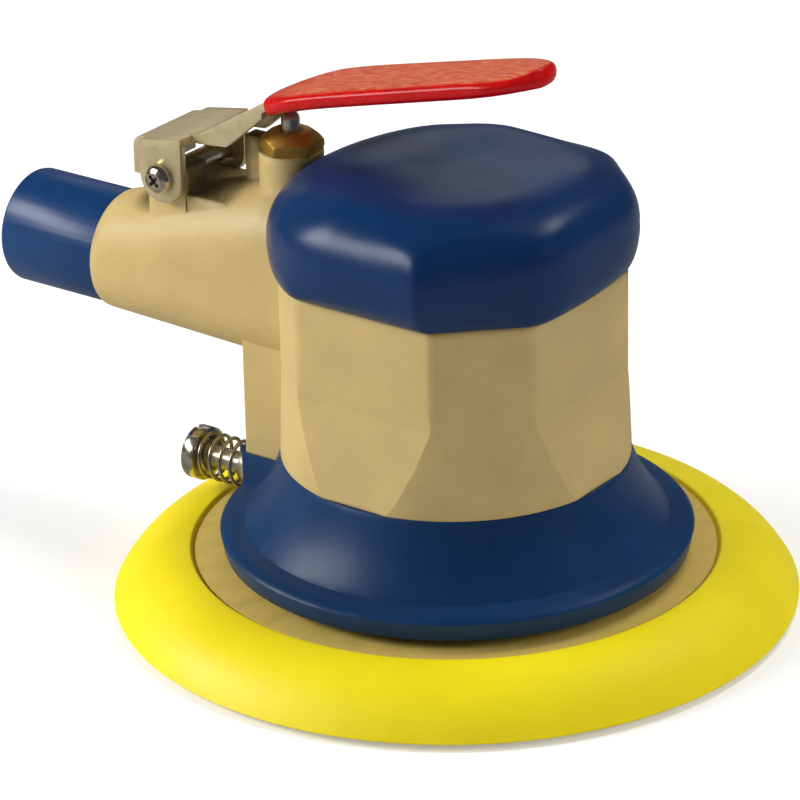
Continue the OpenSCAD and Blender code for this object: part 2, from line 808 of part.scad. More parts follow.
// Plan of the cap at a heading: five flats in front and at the sides and a round back, joined
// by a high power mean that rounds their corners; out is how far the outline stands out. The
// corners beside the side flats stay crisp, and the others soften away from the cap's foot.
cap_crisp = 90;
cap_soft = 18;
function crisp(angle, out) =
    let (side_edge = pow(abs(sin(angle)), 6), low_edge = (cap_bulge - out) / (cap_bulge - cap_tuck))
    cap_soft + (cap_crisp - cap_soft) * max(side_edge, low_edge);
function pull(angle, heading, distance, power) =
    let (c = cos(angle - heading)) c > 0 ? pow(c / distance, power) : 0;
function plan(angle, out) =
    let (
        power = crisp(angle, out),
        flats = [for (heading = [-90, 0, 90]) pull(angle, heading, flat_r + out, power)],
        corners = [for (heading = [-45, 45]) pull(angle, heading, corner_r + round_swell * out, power)],
        rear = cos(angle) > 0 ? 0 : pow(1 / (barrel_top_r + round_swell * out), power)
    )
    pow(flats[0] + flats[1] + flats[2] + corners[0] + corners[1] + rear, -1 / power);
// The shoulder is longer towards the handle
function shoulder(angle) = cap_shoulder + cap_back_slope * pow(max(0, -cos(angle)), 2);

module grip_cap() {
    sides = 120;
    low = 6;
    high = 9;
    belly = cap_z + cap_belly;
    // Each level is [swell of the side, share of the shoulder, height]
    levels = concat(
        [for (i = [0:low - 1]) let (a = 90 * i / low)
            [cap_bulge - (cap_bulge - cap_tuck) * (1 - sin(a)), 0, belly - cap_belly * cos(a)]],
        [for (i = [0:high]) let (t = sin(86 * i / high))
            [cap_bulge, 1 - pow(1 - pow(t, cap_round), 1 / cap_round), belly + (cap_h - cap_belly) * t]]);
    n = len(levels);
    color("navy") difference() {
        polyhedron(
            points = concat(
                [for (level = levels) for (k = [0:sides - 1]) let (a = 360 * k / sides, r = plan(a, level[0]) - level[1] * shoulder(a))
                    [r * cos(a), r * sin(a), level[2]]],
                [[0, 0, cap_z], [0, 0, cap_z + cap_h - cap_dish]]),
            faces = concat(
                [for (i = [0:n - 2]) for (k = [0:sides - 1]) let (m = (k + 1) % sides)
                    each [[i * sides + k, (i + 1) * sides + m, i * sides + m],
                          [i * sides + k, (i + 1) * sides + k, (i + 1) * sides + m]]],
                [for (k = [0:sides - 1]) [n * sides, k, (k + 1) % sides]],
                [for (k = [0:sides - 1]) [n * sides + 1, (n - 1) * sides + (k + 1) % sides, (n - 1) * sides + k]]));
        bar(core_r, cap_z - 1, core_z);
        intersection() {
            handle_shape(grow = slide);
            translate([-handle_x, -barrel_r, 0]) cube([handle_x - core_r + 4, 2 * barrel_r, core_z]);
        }
        translate([-valve_x, 0, 0]) bar(valve_boss_r + slide, 0, cap_z + cap_h);
    }
}

// ---- Shroud ----

module shroud() {
    lip_r = rim_r - rim_edge;
    color("midnightblue") difference() {
        union() {
            rotate_extrude() polygon(concat(
                [[spigot_r, seam_z]],
                slope(0),
                [[lip_r, rim_low + rim_h], [rim_r, rim_low + rim_h - rim_edge], [lip_r, rim_low], [spigot_r, rim_low]]));
            boss_block();
        }
        rotate_extrude() polygon(concat(
            [[0, seam_z + 1], [spigot_r, seam_z + 1], [spigot_r, spigot_z]],
            slope(-skirt_t, start = 0.3),
            [[lip_r - skirt_t, rim_low + skirt_t + rim_edge], [lip_r - skirt_t, rim_low - 1], [0, rim_low - 1]]));
        bar_x(bush_r, 0, boss_x + 1, lock_z, -lock_y);
    }
}

module boss_block() {
    bevel = 2.5;
    translate([0, 0, rim_low]) linear_extrude(boss_top - rim_low) polygon([
        [-barrel_r + 2, -boss_w], [-boss_x + bevel, -boss_w], [-boss_x, -boss_w + bevel],
        [-boss_x, boss_w - bevel], [-boss_x + bevel, boss_w], [-barrel_r + 2, boss_w]]);
}

// ---- Air inlet and exhaust ----

module exhaust_sleeve() {
    color("mediumblue") translate([0, 0, air_z]) rotate([0, -90, 0]) rotate_extrude() polygon([
        [sleeve_bore, plug_x], [plug_r, plug_x], [plug_r, handle_x], [sleeve_r - sleeve_edge, handle_x],
        [sleeve_r, handle_x + sleeve_edge], [sleeve_r, sleeve_end - sleeve_edge],
        [sleeve_r - sleeve_edge, sleeve_end], [sleeve_bore, sleeve_end]]);
}

module muffler() {
    color("whitesmoke") difference() {
        bar_x(sleeve_bore - slide, plug_x + slide, hex_x - slide, air_z);
        bar_x(bushing_r + slide, plug_x, hex_x, air_z);
    }
}

module inlet_bushing() {
    color("silver") difference() {
        union() {
            bar_x(bushing_r, bushing_seat, bushing_end - 0.5, air_z);
            bar_x(bushing_af / 2 / cos(30), hex_x, bushing_end, air_z, fn = 6);
        }
        bar_x(passage_r, 0, sleeve_end, air_z);
        bar_x(inlet_r, bushing_end - inlet_depth, sleeve_end, air_z);
    }
}

// ---- Valve ----

module at_valve() {
    translate([-valve_x, 0, 0]) children();
}

module valve_seat() {
    color("goldenrod") at_valve() ring(stem_r + 1.1, chamber_r, seat_z, seat_z + seat_h);
}

module valve_disc() {
    color("dimgray") at_valve() ring(stem_r, chamber_r - 0.6, seat_z - disc_h - 0.1, seat_z - 0.1);
}

module valve_stem() {
    color("silver") at_valve() {
        bar(stem_r, seat_z - disc_h - 1.5, stem_top);
        translate([0, 0, stem_top]) sphere(r = stem_r);
        bar(stem_r + 1.2, seat_z - disc_h - 1.1, seat_z - disc_h - 0.1);
    }
}

module valve_spring() {
    color("gray") at_valve() translate([0, 0, chamber_floor])
        coil(stem_r + 1.5 - wire_r, wire_r, seat_z - disc_h - 1.1 - chamber_floor, 4, sides = 6, per_turn = 16);
}

module valve_cap() {
    hex_r = valve_af / 2 / cos(30);
    dome = 2.4;
    crown = 0.4;
    foot = 0.7;
    color("gold") at_valve() difference() {
        union() {
            bar(chamber_r, valve_top - valve_thread, valve_top + foot);
            intersection() {
                rotate(valve_turn) translate([0, 0, valve_top]) cylinder(r = hex_r, h = valve_cap_h, $fn = 6);
                rotate_extrude() polygon([[0, valve_top], [hex_r - foot, valve_top], [hex_r, valve_top + foot],
                    [hex_r, valve_top + valve_cap_h - dome], [hex_r - dome, valve_top + valve_cap_h - crown],
                    [hex_r - dome - 2 * crown, valve_top + valve_cap_h], [0, valve_top + valve_cap_h]]);
            }
        }
        bar(stem_r + fit, valve_top - valve_thread - 1, valve_top + valve_cap_h + 1);
        bar(stem_r + seal_d, valve_top - valve_thread - 1, valve_top - valve_thread + seal_d);
    }
}

module valve_seal() {
    color("black") at_valve() rotate_extrude()
        translate([stem_r + (fit + seal_d) / 2, valve_top - valve_thread + seal_d / 2]) circle(r = seal_d / 2 - fit);
}

// ---- Lever ----

module sheet_line(line, t) {
    // Sheet metal seen from its edge: the line is its top face, and it is t thick
    n = len(line) - 1;
    function normal(i) = let (a = line[max(i - 1, 0)], b = line[min(i + 1, n)], d = (b - a) / norm(b - a)) [d[1], -d[0]];
    polygon(concat(line, [for (i = [n:-1:0]) line[i] + t * normal(i)]));
}

rear_z = fold[1] - (fold[0] - rear_x) * tan(plate_tilt);
lever_line = concat([[rear_x, pivot[1] - 1.3]], bend([rear_x, pivot[1]], [rear_x, rear_z], fold, 2.6, 4),
    bend(fold, knee, elbow, 8), bend(knee, elbow, tip, 14), [tip]);
vinyl_line = concat([vinyl_from], bend(knee, elbow, tip, 14), [tip + [vinyl_t, 0]]);

// Plan of the lever's sheet: full width over the ears, narrower along the neck, round at the tip
module grip_plan(start, out = 0) {
    neck = neck_w / 2 + out;
    wide = grip_w / 2 - vinyl_t + out;
    end_r = grip_end_w / 2 - vinyl_t + out;
    end_x = tip[0] - grip_end_w / 2 + vinyl_t;
    polygon([[start, -neck], [flare_x[0], -neck], [flare_x[1], -wide], [end_x, -end_r],
        [end_x, end_r], [flare_x[1], wide], [flare_x[0], neck], [start, neck]]);
    translate([end_x, 0]) circle(r = end_r);
}

module lever_plan() {
    flange_w = ear_span / 2 - sheet_t - 0.6;
    translate([rear_x, -flange_w]) square([ear_w, 2 * flange_w]);
    translate([fold[0], -ear_span / 2]) square([ear_w, ear_span]);
    grip_plan(fold[0] + ear_w - 1);
}

// The vinyl was dipped on at a slant, so it starts further back on the far side
module vinyl_plan() {
    w = neck_w / 2 + vinyl_t;
    difference() {
        grip_plan(vinyl_near - vinyl_slant, out = vinyl_t);
        polygon([[vinyl_near, -w - 1], [vinyl_near - vinyl_slant, w + 1], [vinyl_near - 99, w + 1],
            [vinyl_near - 99, -w - 1]]);
    }
}

ear_w = 2 * ear_r + 0.1;

module ear(side) {
    translate([0, side * (ear_span / 2 - sheet_t / 2), 0]) lever_plane(sheet_t) difference() {
        union() {
            translate(pivot) circle(r = ear_r);
            polygon([pivot + [-ear_r, 0], fold, fold + ear_w * [1, tan(plate_tilt)], pivot + [ear_r, 0]]);
        }
        translate(pivot) circle(r = screw_r + fit);
    }
}

// The neck's edges are folded down to stiffen it
module neck_flange(side) {
    top = [for (p = [0, 0.35, 0.8]) knee + p * (elbow - knee)];
    drop = [2, 6, 3.5];
    translate([0, side * (neck_w - sheet_t) / 2, 0]) lever_plane(sheet_t) polygon([
        top[0] + [-2, -0.8], top[0] + [0, -drop[0]], top[1] + [0, -drop[1]], top[2] + [0, -drop[2]],
        top[2] + [0, -0.8], top[0] + [0, -0.8]]);
}

module lever() {
    color("lightgray") {
        intersection() {
            lever_plane(ear_span) sheet_line(lever_line, sheet_t);
            translate([0, 0, air_z]) linear_extrude(3 * pivot_h) lever_plan();
        }
        for (side = [-1, 1]) {
            ear(side);
            neck_flange(side);
        }
    }
}

module lever_sleeve() {
    line = [for (p = vinyl_line) p + [0, vinyl_t]];
    color("crimson") difference() {
        intersection() {
            lever_plane(grip_w) sheet_line(line, sheet_t + 2 * vinyl_t);
            translate([0, 0, air_z]) linear_extrude(3 * pivot_h) vinyl_plan();
        }
        intersection() {
            lever_plane(ear_span) sheet_line(lever_line, sheet_t);
            translate([0, 0, air_z]) linear_extrude(3 * pivot_h) lever_plan();
        }
        for (side = [-1, 1]) neck_flange(side);
    }
}

module pivot_screw() {
    head_r = 3.3;
    head_h = 2.4;
    y = ear_span / 2 + slide / 2;
    color("whitesmoke") translate([pivot[0], 0, pivot[1]]) rotate([90, 0, 0]) {
        bar(screw_r, -y - nut_h - 1, y + 0.5);
        difference() {
            rotate_extrude() polygon([[0, y], [head_r, y], [head_r, y + 1.1], [head_r - 0.5, y + 1.9],
                [head_r - 1.4, y + head_h], [0, y + head_h]]);
            for (turn = [45, 135]) rotate(turn) translate([-1.6, -0.4, y + 1]) cube([3.2, 0.8, head_h]);
        }
    }
}

module pivot_nut() {
    y = ear_span / 2 + slide / 2;
    color("gainsboro") translate([pivot[0], 0, pivot[1]]) rotate([90, 0, 0]) difference() {
        translate([0, 0, -y - nut_h]) cylinder(r = 4.6, h = nut_h, $fn = 6);
        bar(screw_r, -y - nut_h - 1, 0);
    }
}

// ---- Lock pin ----

spring_r = spring_out - wire_r;
knob_hub = 1.5;
lock_slack = 1.4;
lock_head_x = boss_x + lock_travel + 2 * wire_r * lock_turns + lock_slack;

module pin_bushing() {
    color("gray") difference() {
        bar_x(bush_r, bush_inner_x, boss_x, lock_z, -lock_y);
        bar_x(lock_r + fit, 0, boss_x + 1, lock_z, -lock_y);
    }
}

module lock_pin() {
    color("silver") difference() {
        bar_x(lock_r, disc_r + 2.2, lock_head_x, lock_z, -lock_y);
        difference() {
            bar_x(lock_r + 1, clip_x - 0.1, clip_x + clip_t - 0.1, lock_z, -lock_y);
            bar_x(lock_r - 0.6, 0, boss_x, lock_z, -lock_y);
        }
    }
}

module lock_knob() {
    color("gainsboro") difference() {
        union() {
            bar_x(knob_r, lock_head_x, lock_head_x + knob_t, lock_z, -lock_y);
            bar_x(spring_r - wire_r - slide, lock_head_x - knob_hub, lock_head_x, lock_z, -lock_y);
        }
        bar_x(lock_r, lock_head_x - knob_hub - 1, lock_head_x, lock_z, -lock_y);
        translate([-lock_head_x - knob_t - 1, -lock_y - 0.6, lock_z - knob_r]) cube([2, 1.2, 2 * knob_r]);
    }
}

module lock_clip() {
    color("gray") difference() {
        bar_x(lock_r + 1.6, clip_x - 0.1, clip_x + clip_t - 0.1, lock_z, -lock_y);
        bar_x(lock_r - 0.6, 0, boss_x, lock_z, -lock_y);
    }
}

module lock_spring() {
    color("lightgray") translate([-boss_x, -lock_y, lock_z]) rotate([0, -90, 0])
        coil(spring_r, wire_r, lock_head_x - boss_x, lock_turns);
}

pad_face();
pad_foam();
pad_plate();
pad_hub();
pad_rivets();
spindle();
spindle_clip();
spindle_bearing_inner();
spindle_bearing_outer();
spindle_bearing_balls();
bearing_ring();
balancer_shaft();
rotor();
rotor_key();
vane_1();
vane_2();
vane_3();
vane_4();
vane_5();
shaft_clip();
lower_bearing_inner();
upper_bearing_inner();
lower_bearing_balls();
upper_bearing_balls();
lower_bearing_outer();
upper_bearing_outer();
lock_ring();
lower_end_plate();
cylinder_liner();
upper_end_plate();
dowel();
housing();
grip_cap();
shroud();
exhaust_sleeve();
muffler();
inlet_bushing();
valve_seat();
valve_spring();
valve_cap();
valve_seal();
pivot_screw();
pivot_nut();
pin_bushing();
valve_stem();
valve_disc();
lever();
lever_sleeve();
lock_pin();
lock_knob();
lock_clip();
lock_spring();
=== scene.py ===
"""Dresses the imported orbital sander.

The cap, the pad, the lever's vinyl and the springs get smooth skins of their own, every piece gets
its finish, and a studio with a camera stands round them.
"""

import json
import math

import bpy
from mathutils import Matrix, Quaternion, Vector


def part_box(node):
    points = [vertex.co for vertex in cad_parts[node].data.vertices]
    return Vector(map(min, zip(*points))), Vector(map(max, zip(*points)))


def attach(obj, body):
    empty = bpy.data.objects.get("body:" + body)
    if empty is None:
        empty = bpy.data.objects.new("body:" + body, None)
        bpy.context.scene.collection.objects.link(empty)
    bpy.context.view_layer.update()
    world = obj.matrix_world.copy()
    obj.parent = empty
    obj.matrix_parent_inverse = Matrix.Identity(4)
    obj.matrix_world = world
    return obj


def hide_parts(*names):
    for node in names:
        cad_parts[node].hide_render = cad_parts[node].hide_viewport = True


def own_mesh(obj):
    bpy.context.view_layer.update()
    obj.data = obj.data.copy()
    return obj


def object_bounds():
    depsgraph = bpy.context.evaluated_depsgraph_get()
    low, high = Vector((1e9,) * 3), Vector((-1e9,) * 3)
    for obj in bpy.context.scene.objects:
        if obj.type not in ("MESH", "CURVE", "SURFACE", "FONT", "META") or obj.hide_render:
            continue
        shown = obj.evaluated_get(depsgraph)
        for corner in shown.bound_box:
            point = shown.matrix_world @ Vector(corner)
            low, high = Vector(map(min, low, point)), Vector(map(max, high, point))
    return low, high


bl_info = {
    "name": "Orbital sander",
    "version": (1, 0, 0),
    "blender": (4, 5, 0),
    "location": "3D View > Sidebar > Sander",
    "description": "Builds the visible pieces and finishes of an air-driven orbital sander",
    "category": "Object",
}

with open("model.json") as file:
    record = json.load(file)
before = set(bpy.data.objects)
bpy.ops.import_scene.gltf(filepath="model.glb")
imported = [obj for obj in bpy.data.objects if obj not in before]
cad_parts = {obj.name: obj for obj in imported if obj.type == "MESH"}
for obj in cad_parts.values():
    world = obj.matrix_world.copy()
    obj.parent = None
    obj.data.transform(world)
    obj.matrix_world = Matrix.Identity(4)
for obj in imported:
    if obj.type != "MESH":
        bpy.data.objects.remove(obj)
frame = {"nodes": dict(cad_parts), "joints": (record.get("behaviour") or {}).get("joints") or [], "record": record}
NODES = frame["nodes"]
JOINTS = {joint["name"]: joint for joint in frame["joints"]}
CAD_BOX = [list(corner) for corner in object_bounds()]
SLOTS = {part["node"]: part["material_slot"] for part in frame["record"]["subparts"]}
BODIES = {
    node: body for body, nodes in frame["record"]["behaviour"]["bodies"].items() for node in nodes
}
MM = 0.001

# Where the lever's hinge and the valve's axis are, along the tool and up.
HINGE_X, _, HINGE_Z = JOINTS["lever_hinge"]["pos_m"]
VALVE_X = sum(corner.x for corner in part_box("valve_cap")) / 2


# ---- Sizes and colours ----


def length(name, description, millimetres):
    return bpy.props.FloatProperty(
        name=name,
        description=description,
        default=millimetres * MM,
        subtype="DISTANCE",
        unit="LENGTH",
        precision=5,
    )


def share(name, description, default):
    return bpy.props.FloatProperty(
        name=name, description=description, default=default, min=0.0, subtype="FACTOR"
    )


def linear(*channels):
    """Display values from 0 to 255 as scene-linear ones, by the sRGB curve."""
    shares = [value / 255 for value in channels]
    return tuple(s / 12.92 if s <= 0.04045 else ((s + 0.055) / 1.055) ** 2.4 for s in shares)


def colour(name, description, red, green, blue):
    return bpy.props.FloatVectorProperty(
        name=name,
        description=description,
        default=linear(red, green, blue),
        size=3,
        min=0.0,
        max=1.0,
        subtype="COLOR",
    )


class SanderSizes(bpy.types.PropertyGroup):
    """Sizes of the dressed pieces, beyond those that the frame already fixes."""

    flat_r: length("Cap flats", "Distance from the motor axis to the cap's flats", 33.5)
    corner_r: length("Cap corners", "Distance from the motor axis to the cap's slanting corners", 36.4)
    rear_r: length("Cap rear", "Radius of the cap's round rear", 37.8)
    bulge: length("Cap bulge", "How far the cap stands out over the barrel", 4.2)
    tuck: length("Cap tuck", "How far the cap's lower edge stands out", 0.3)
    round_swell: share("Cap swell", "Share of the cap's bulge at its corners and its rear", 0.55)
    far_swell: share("Cap far swell", "Share of the cap's bulge at its far front corner", 0.85)
    front_lift: length("Cap front lift", "How far the widest line climbs at the front", 3.0)
    front_lip: length("Cap front lip", "How far the lower edge stands out at the front", 1.3)
    belly: length("Cap belly", "Height of the cap's widest line over its lower edge", 8.0)
    shoulder: length("Cap shoulder", "Distance over which the cap rounds inwards", 16.2)
    back_slope: length("Cap back slope", "Further length of the shoulder towards the handle", 13.0)
    dish: length("Cap dish", "Depth of the hollow on top of the cap", 0.6)
    side_dip: length("Cap side dip", "Depth of the dip in the cap's top edge on both sides", 0.9)
    seam: length("Mould line", "Depth of the mould line round the cap", 0.12)
    sheet_t: length("Lever sheet", "Thickness of the lever's steel", 1.9)
    vinyl_t: length("Vinyl wall", "Thickness of the vinyl on the lever", 1.3)
    neck_w: length("Lever neck", "Width of the lever's steel neck", 16.0)
    grip_w: length("Lever grip", "Width of the lever's grip at its elbow", 24.2)
    grip_end_w: length("Grip end", "Width of the grip at its round end", 21.0)
    wire_r: length("Spring wire", "Radius of the springs' wire", 0.45)
    camera_lens: bpy.props.FloatProperty(
        name="Lens",
        description="Focal length of the camera in millimetres",
        default=202.1,
        min=1.0,
        unit="CAMERA",
    )


class SanderColours(bpy.types.PropertyGroup):
    """Colours of the finishes."""

    tan: colour("Tan paint", "Paint of the barrel and the handle", 198, 173, 112)
    cap_blue: colour("Cap blue", "Rubber of the cap", 5, 45, 90)
    skirt_blue: colour("Skirt blue", "Plastic of the skirt", 14, 52, 92)
    hose_blue: colour("Sleeve blue", "Rubber of the exhaust sleeve", 12, 56, 106)
    red: colour("Vinyl red", "Vinyl on the lever", 196, 8, 10)
    red_worn: colour("Worn red", "Top of the vinyl where it is worn", 206, 124, 84)
    yellow: colour("Foam yellow", "Foam of the pad", 252, 230, 10)
    board: colour("Board", "Backing plate of the pad", 205, 178, 92)
    nickel: colour("Nickel", "Plated sheet steel of the lever", 222, 202, 160)
    steel: colour("Steel", "Turned steel", 206, 198, 176)
    brass: colour("Brass", "Brass of the valve cap", 204, 160, 74)
    iron: colour("Iron", "Cast iron inside the tool", 92, 92, 94)
    laminate: colour("Laminate", "Vanes of the motor", 92, 62, 36)
    dark_rubber: colour("Dark rubber", "Seals", 24, 24, 24)
    felt: colour("Felt", "Muffler in the exhaust", 196, 190, 176)
    facing: colour("Facing", "Hook facing under the pad", 44, 44, 46)


def sizes():
    return bpy.context.scene.sander_sizes


def colours():
    return bpy.context.scene.sander_colours


# ---- Shader maths ----

# The two inputs and the output that a Mix node uses for each kind of data.
MIX_SOCKETS = {"RGBA": (6, 7, 2), "VECTOR": (4, 5, 1)}


class Wire:
    """One socket in a graph of shader nodes. Arithmetic on it adds Math nodes."""

    def __init__(self, graph, socket):
        self.graph = graph
        self.socket = socket

    def math(self, operation, first, second, clamp=False):
        settings = {"operation": operation, "use_clamp": clamp}
        return self.graph.node("ShaderNodeMath", settings, {0: first, 1: second})

    def __add__(self, other):
        return self.math("ADD", self, other)

    def __radd__(self, other):
        return self.math("ADD", other, self)

    def __sub__(self, other):
        return self.math("SUBTRACT", self, other)

    def __rsub__(self, other):
        return self.math("SUBTRACT", other, self)

    def __mul__(self, other):
        return self.math("MULTIPLY", self, other)

    def __rmul__(self, other):
        return self.math("MULTIPLY", other, self)

    def clamp(self):
        """The value, held between 0 and 1."""
        return self.math("ADD", self, 0.0, clamp=True)


class Graph:
    """The shader nodes of a material or a world, built up from nothing."""

    def __init__(self, owner):
        owner.use_nodes = True
        self.tree = owner.node_tree
        self.tree.nodes.clear()

    def node(self, kind, settings=None, plugs=None, out=0):
        """Adds a node, sets it up, feeds its sockets and returns one of its outputs, if it has any."""
        made = self.tree.nodes.new(kind)
        for name, value in (settings or {}).items():
            setattr(made, name, value)
        for socket, value in (plugs or {}).items():
            self.feed(made.inputs[socket], value)
        return Wire(self, made.outputs[out]) if made.outputs else None

    def feed(self, socket, value):
        """Links a wire to a socket, or sets the socket to a value."""
        if isinstance(value, Wire):
            self.tree.links.new(value.socket, socket)
        else:
            socket.default_value = value


class Finish(Graph):
    """A material under construction round one Principled shader."""

    def __init__(self, name, **constants):
        self.material = bpy.data.materials.new(name)
        super().__init__(self.material)
        surface = self.node("ShaderNodeBsdfPrincipled")
        self.node("ShaderNodeOutputMaterial", plugs={"Surface": surface})
        self.shader = surface.socket.node
        for socket, value in constants.items():
            self.set(socket.replace("_", " "), value)
        self.place = self.node("ShaderNodeTexCoord", out="Object")

    def set(self, socket, value):
        """Feeds a socket of the shader."""
        self.feed(self.shader.inputs[socket], value)

    def grain(self, scale, detail=3.0, roughness=0.5, stretch=(1.0, 1.0, 1.0)):
        """Noise from 0 to 1, with scale in features per metre."""
        place = self.node("ShaderNodeMapping", plugs={"Vector": self.place, "Scale": stretch})
        return self.node(
            "ShaderNodeTexNoise",
            plugs={"Vector": place, "Scale": scale, "Detail": detail, "Roughness": roughness},
        )

    def spread(self, value, low, high, to_low=0.0, to_high=1.0):
        """Stretches a band of a value to another band, with soft ends."""
        return self.node(
            "ShaderNodeMapRange",
            {"interpolation_type": "SMOOTHSTEP"},
            {"Value": value, "From Min": low, "From Max": high, "To Min": to_low, "To Max": to_high},
        )

    def between(self, kind, factor, first, second):
        """A Mix node for one kind of data."""
        first_in, second_in, out = MIX_SOCKETS[kind]
        plugs = {0: factor, first_in: first, second_in: second}
        return self.node("ShaderNodeMix", {"data_type": kind}, plugs, out)

    def mix(self, factor, first, second):
        """A colour between two colours."""
        return self.between("RGBA", factor, solid(first), solid(second))

    def blend(self, factor, first, second):
        """A vector between two vectors."""
        return self.between("VECTOR", factor, first, second)

    def edge(self, radius, low, high):
        """A mask that is 1 on sharp outer and inner edges."""
        soft = self.rounded(radius, samples=6)
        flat = self.node("ShaderNodeNewGeometry", out="Normal")
        operation = {"operation": "DOT_PRODUCT"}
        turned = self.node("ShaderNodeVectorMath", operation, {0: soft, 1: flat}, out="Value")
        return self.spread(1.0 - turned, low, high)

    def rounded(self, radius, samples=8):
        """The normal of the shape with its edges softened."""
        return self.node("ShaderNodeBevel", {"samples": samples}, {"Radius": radius})

    def hollow(self, reach, low, high):
        """A mask that is 1 deep in hollows and under other pieces."""
        light = self.node("ShaderNodeAmbientOcclusion", {"samples": 8}, {"Distance": reach}, out="AO")
        return self.spread(1.0 - light, low, high)

    def facing_up(self, low, high):
        """A mask that is 1 where the surface faces up."""
        normal = self.node("ShaderNodeNewGeometry", out="Normal")
        height = self.node("ShaderNodeSeparateXYZ", plugs={0: normal}, out="Z")
        return self.spread(height, low, high)

    def along(self, axis, low, high):
        """A mask that rises from 0 to 1 between two places on an axis."""
        place = self.node("ShaderNodeSeparateXYZ", plugs={0: self.place}, out=axis)
        return self.spread(place, low, high)

    def bump(self, height, distance, strength, under=None):
        """Relief from a height, on the normal of the shape under it."""
        plugs = {"Height": height, "Distance": distance, "Strength": strength}
        if under:
            plugs["Normal"] = under
        self.set("Normal", self.node("ShaderNodeBump", plugs=plugs))


def solid(value):
    """A colour with its alpha, or a wire as it is."""
    return value if isinstance(value, Wire) else (*value[:3], 1.0)


def shade(tint, factor):
    """A colour made darker or paler, up to white."""
    return tuple(min(1.0, channel * factor) for channel in tint)


# ---- Finishes ----

# A painted shadow of the lever lies on the casting round the lever's hinge, and fades in or out between each pair.
LEVER_SHADOW_REAR = (HINGE_X - 15.5 * MM, HINGE_X - 10.5 * MM)
LEVER_SHADOW_FRONT = (HINGE_X + 14.5 * MM, HINGE_X + 20.5 * MM)
LEVER_SHADOW_SIDE = (-10.5 * MM, -8.5 * MM)
LEVER_SHADOW_FOOT = (HINGE_Z - 11.6 * MM, HINGE_Z - 9.1 * MM)

# The casting's corners are crisp below the first height and soft above the second.
SOFTENING = (56.5 * MM, 60 * MM)
CRISP_RADIUS, SOFT_RADIUS = 0.5 * MM, 3.5 * MM


def painted(name, tint):
    """Cast aluminium under satin paint, with dust, painted shade in hollows and under the lever, and bare metal at
    the edges.
    """
    finish = Finish(name)
    cloud = finish.grain(55, detail=4, roughness=0.6)
    speck = finish.grain(1400, detail=2, roughness=0.6)
    body = finish.mix(finish.spread(cloud, 0.3, 0.72), shade(tint, 0.93), shade(tint, 1.05))
    dust = finish.spread(speck, 0.62, 0.78, to_high=0.16)
    body = finish.mix(dust, body, shade(tint, 0.55))
    chips = finish.spread(finish.grain(420, detail=4, roughness=0.7), 0.5, 0.66)
    wear = finish.edge(0.6 * MM, 0.05, 0.4) * chips
    body = finish.mix(wear * 0.55, body, shade(tint, 1.32))
    # Painted shadow: a dark patch on the casting round the hinge, where the lever's shadow falls.
    lever_shadow = finish.along("X", *LEVER_SHADOW_REAR) * (1.0 - finish.along("X", *LEVER_SHADOW_FRONT))
    lever_shadow = lever_shadow * finish.along("Y", *LEVER_SHADOW_SIDE) * finish.along("Z", *LEVER_SHADOW_FOOT)
    # Painted shade: the paint goes darker in hollows and under other pieces, and in the lever's shadow, broken up
    # by noise.
    painted_shade = (finish.hollow(14 * MM, 0.42, 0.8) + lever_shadow * 0.85).clamp()
    painted_shade = painted_shade * finish.spread(finish.grain(600, detail=4, roughness=0.7), 0.2, 0.6, to_low=0.7)
    finish.set("Base Color", finish.mix(painted_shade * 0.88, body, shade(tint, 0.12)))
    finish.set("Roughness", finish.spread(cloud + speck * 0.4, 0.3, 1.0, 0.33, 0.5))
    finish.set("Metallic", wear * 0.4)
    crisp, soft = finish.rounded(CRISP_RADIUS), finish.rounded(SOFT_RADIUS)
    corners = finish.blend(finish.along("Z", *SOFTENING), crisp, soft)
    peel = finish.grain(380, detail=2)
    finish.bump(speck + peel * 0.8, 0.04 * MM, strength=0.55, under=corners)
    return finish.material


def rubbery(name, tint, gloss, scuff=0.35, sheen=0.28):
    """Moulded rubber or plastic with a soft sheen, faint scuffs and a painted highlight along its edges."""
    finish = Finish(name, Specular_IOR_Level=sheen)
    cloud = finish.grain(38, detail=3, roughness=0.6)
    rub = finish.grain(260, detail=4, roughness=0.65, stretch=(1.0, 1.0, 3.2))
    rubbed = finish.spread(rub, 0.6, 0.78, to_high=scuff)
    # Painted highlight: sharp edges are painted paler, standing in for the light they catch.
    edge = finish.edge(0.8 * MM, 0.04, 0.5)
    body = finish.mix(finish.spread(cloud, 0.3, 0.75), shade(tint, 0.9), shade(tint, 1.12))
    body = finish.mix(rubbed * 0.35, body, shade(tint, 1.9))
    finish.set("Base Color", finish.mix(edge * 0.35, body, shade(tint, 2.1)))
    finish.set("Roughness", finish.spread(cloud + rubbed, 0.25, 1.1, gloss, gloss + 0.16))
    pebble, ripple = finish.grain(1700, detail=2, roughness=0.6), finish.grain(240, detail=2)
    finish.bump(pebble + ripple * 0.5, 0.03 * MM, strength=0.5)
    return finish.material


def dipped_vinyl(name, tint, worn):
    """Dipped vinyl: glossy at its sides, dull, paler and scratched on top."""
    finish = Finish(name, Specular_IOR_Level=0.3)
    cloud = finish.grain(120, detail=4, roughness=0.6)
    scratch = finish.grain(900, detail=3, roughness=0.6, stretch=(0.25, 1.6, 1.0))
    top = finish.facing_up(0.86, 0.965)
    speckle = finish.spread(scratch, 0.38, 0.66, to_low=0.3)
    rubbed = top * speckle * finish.spread(cloud, 0.2, 0.6, to_low=0.82)
    body = finish.mix(finish.spread(cloud, 0.3, 0.7), shade(tint, 0.86), shade(tint, 1.08))
    finish.set("Base Color", finish.mix(rubbed, body, worn))
    finish.set("Roughness", 0.24 + rubbed * 0.34 + cloud * 0.06)
    finish.bump(scratch * rubbed + finish.grain(300, detail=2) * 0.6, 0.05 * MM, strength=0.5)
    return finish.material


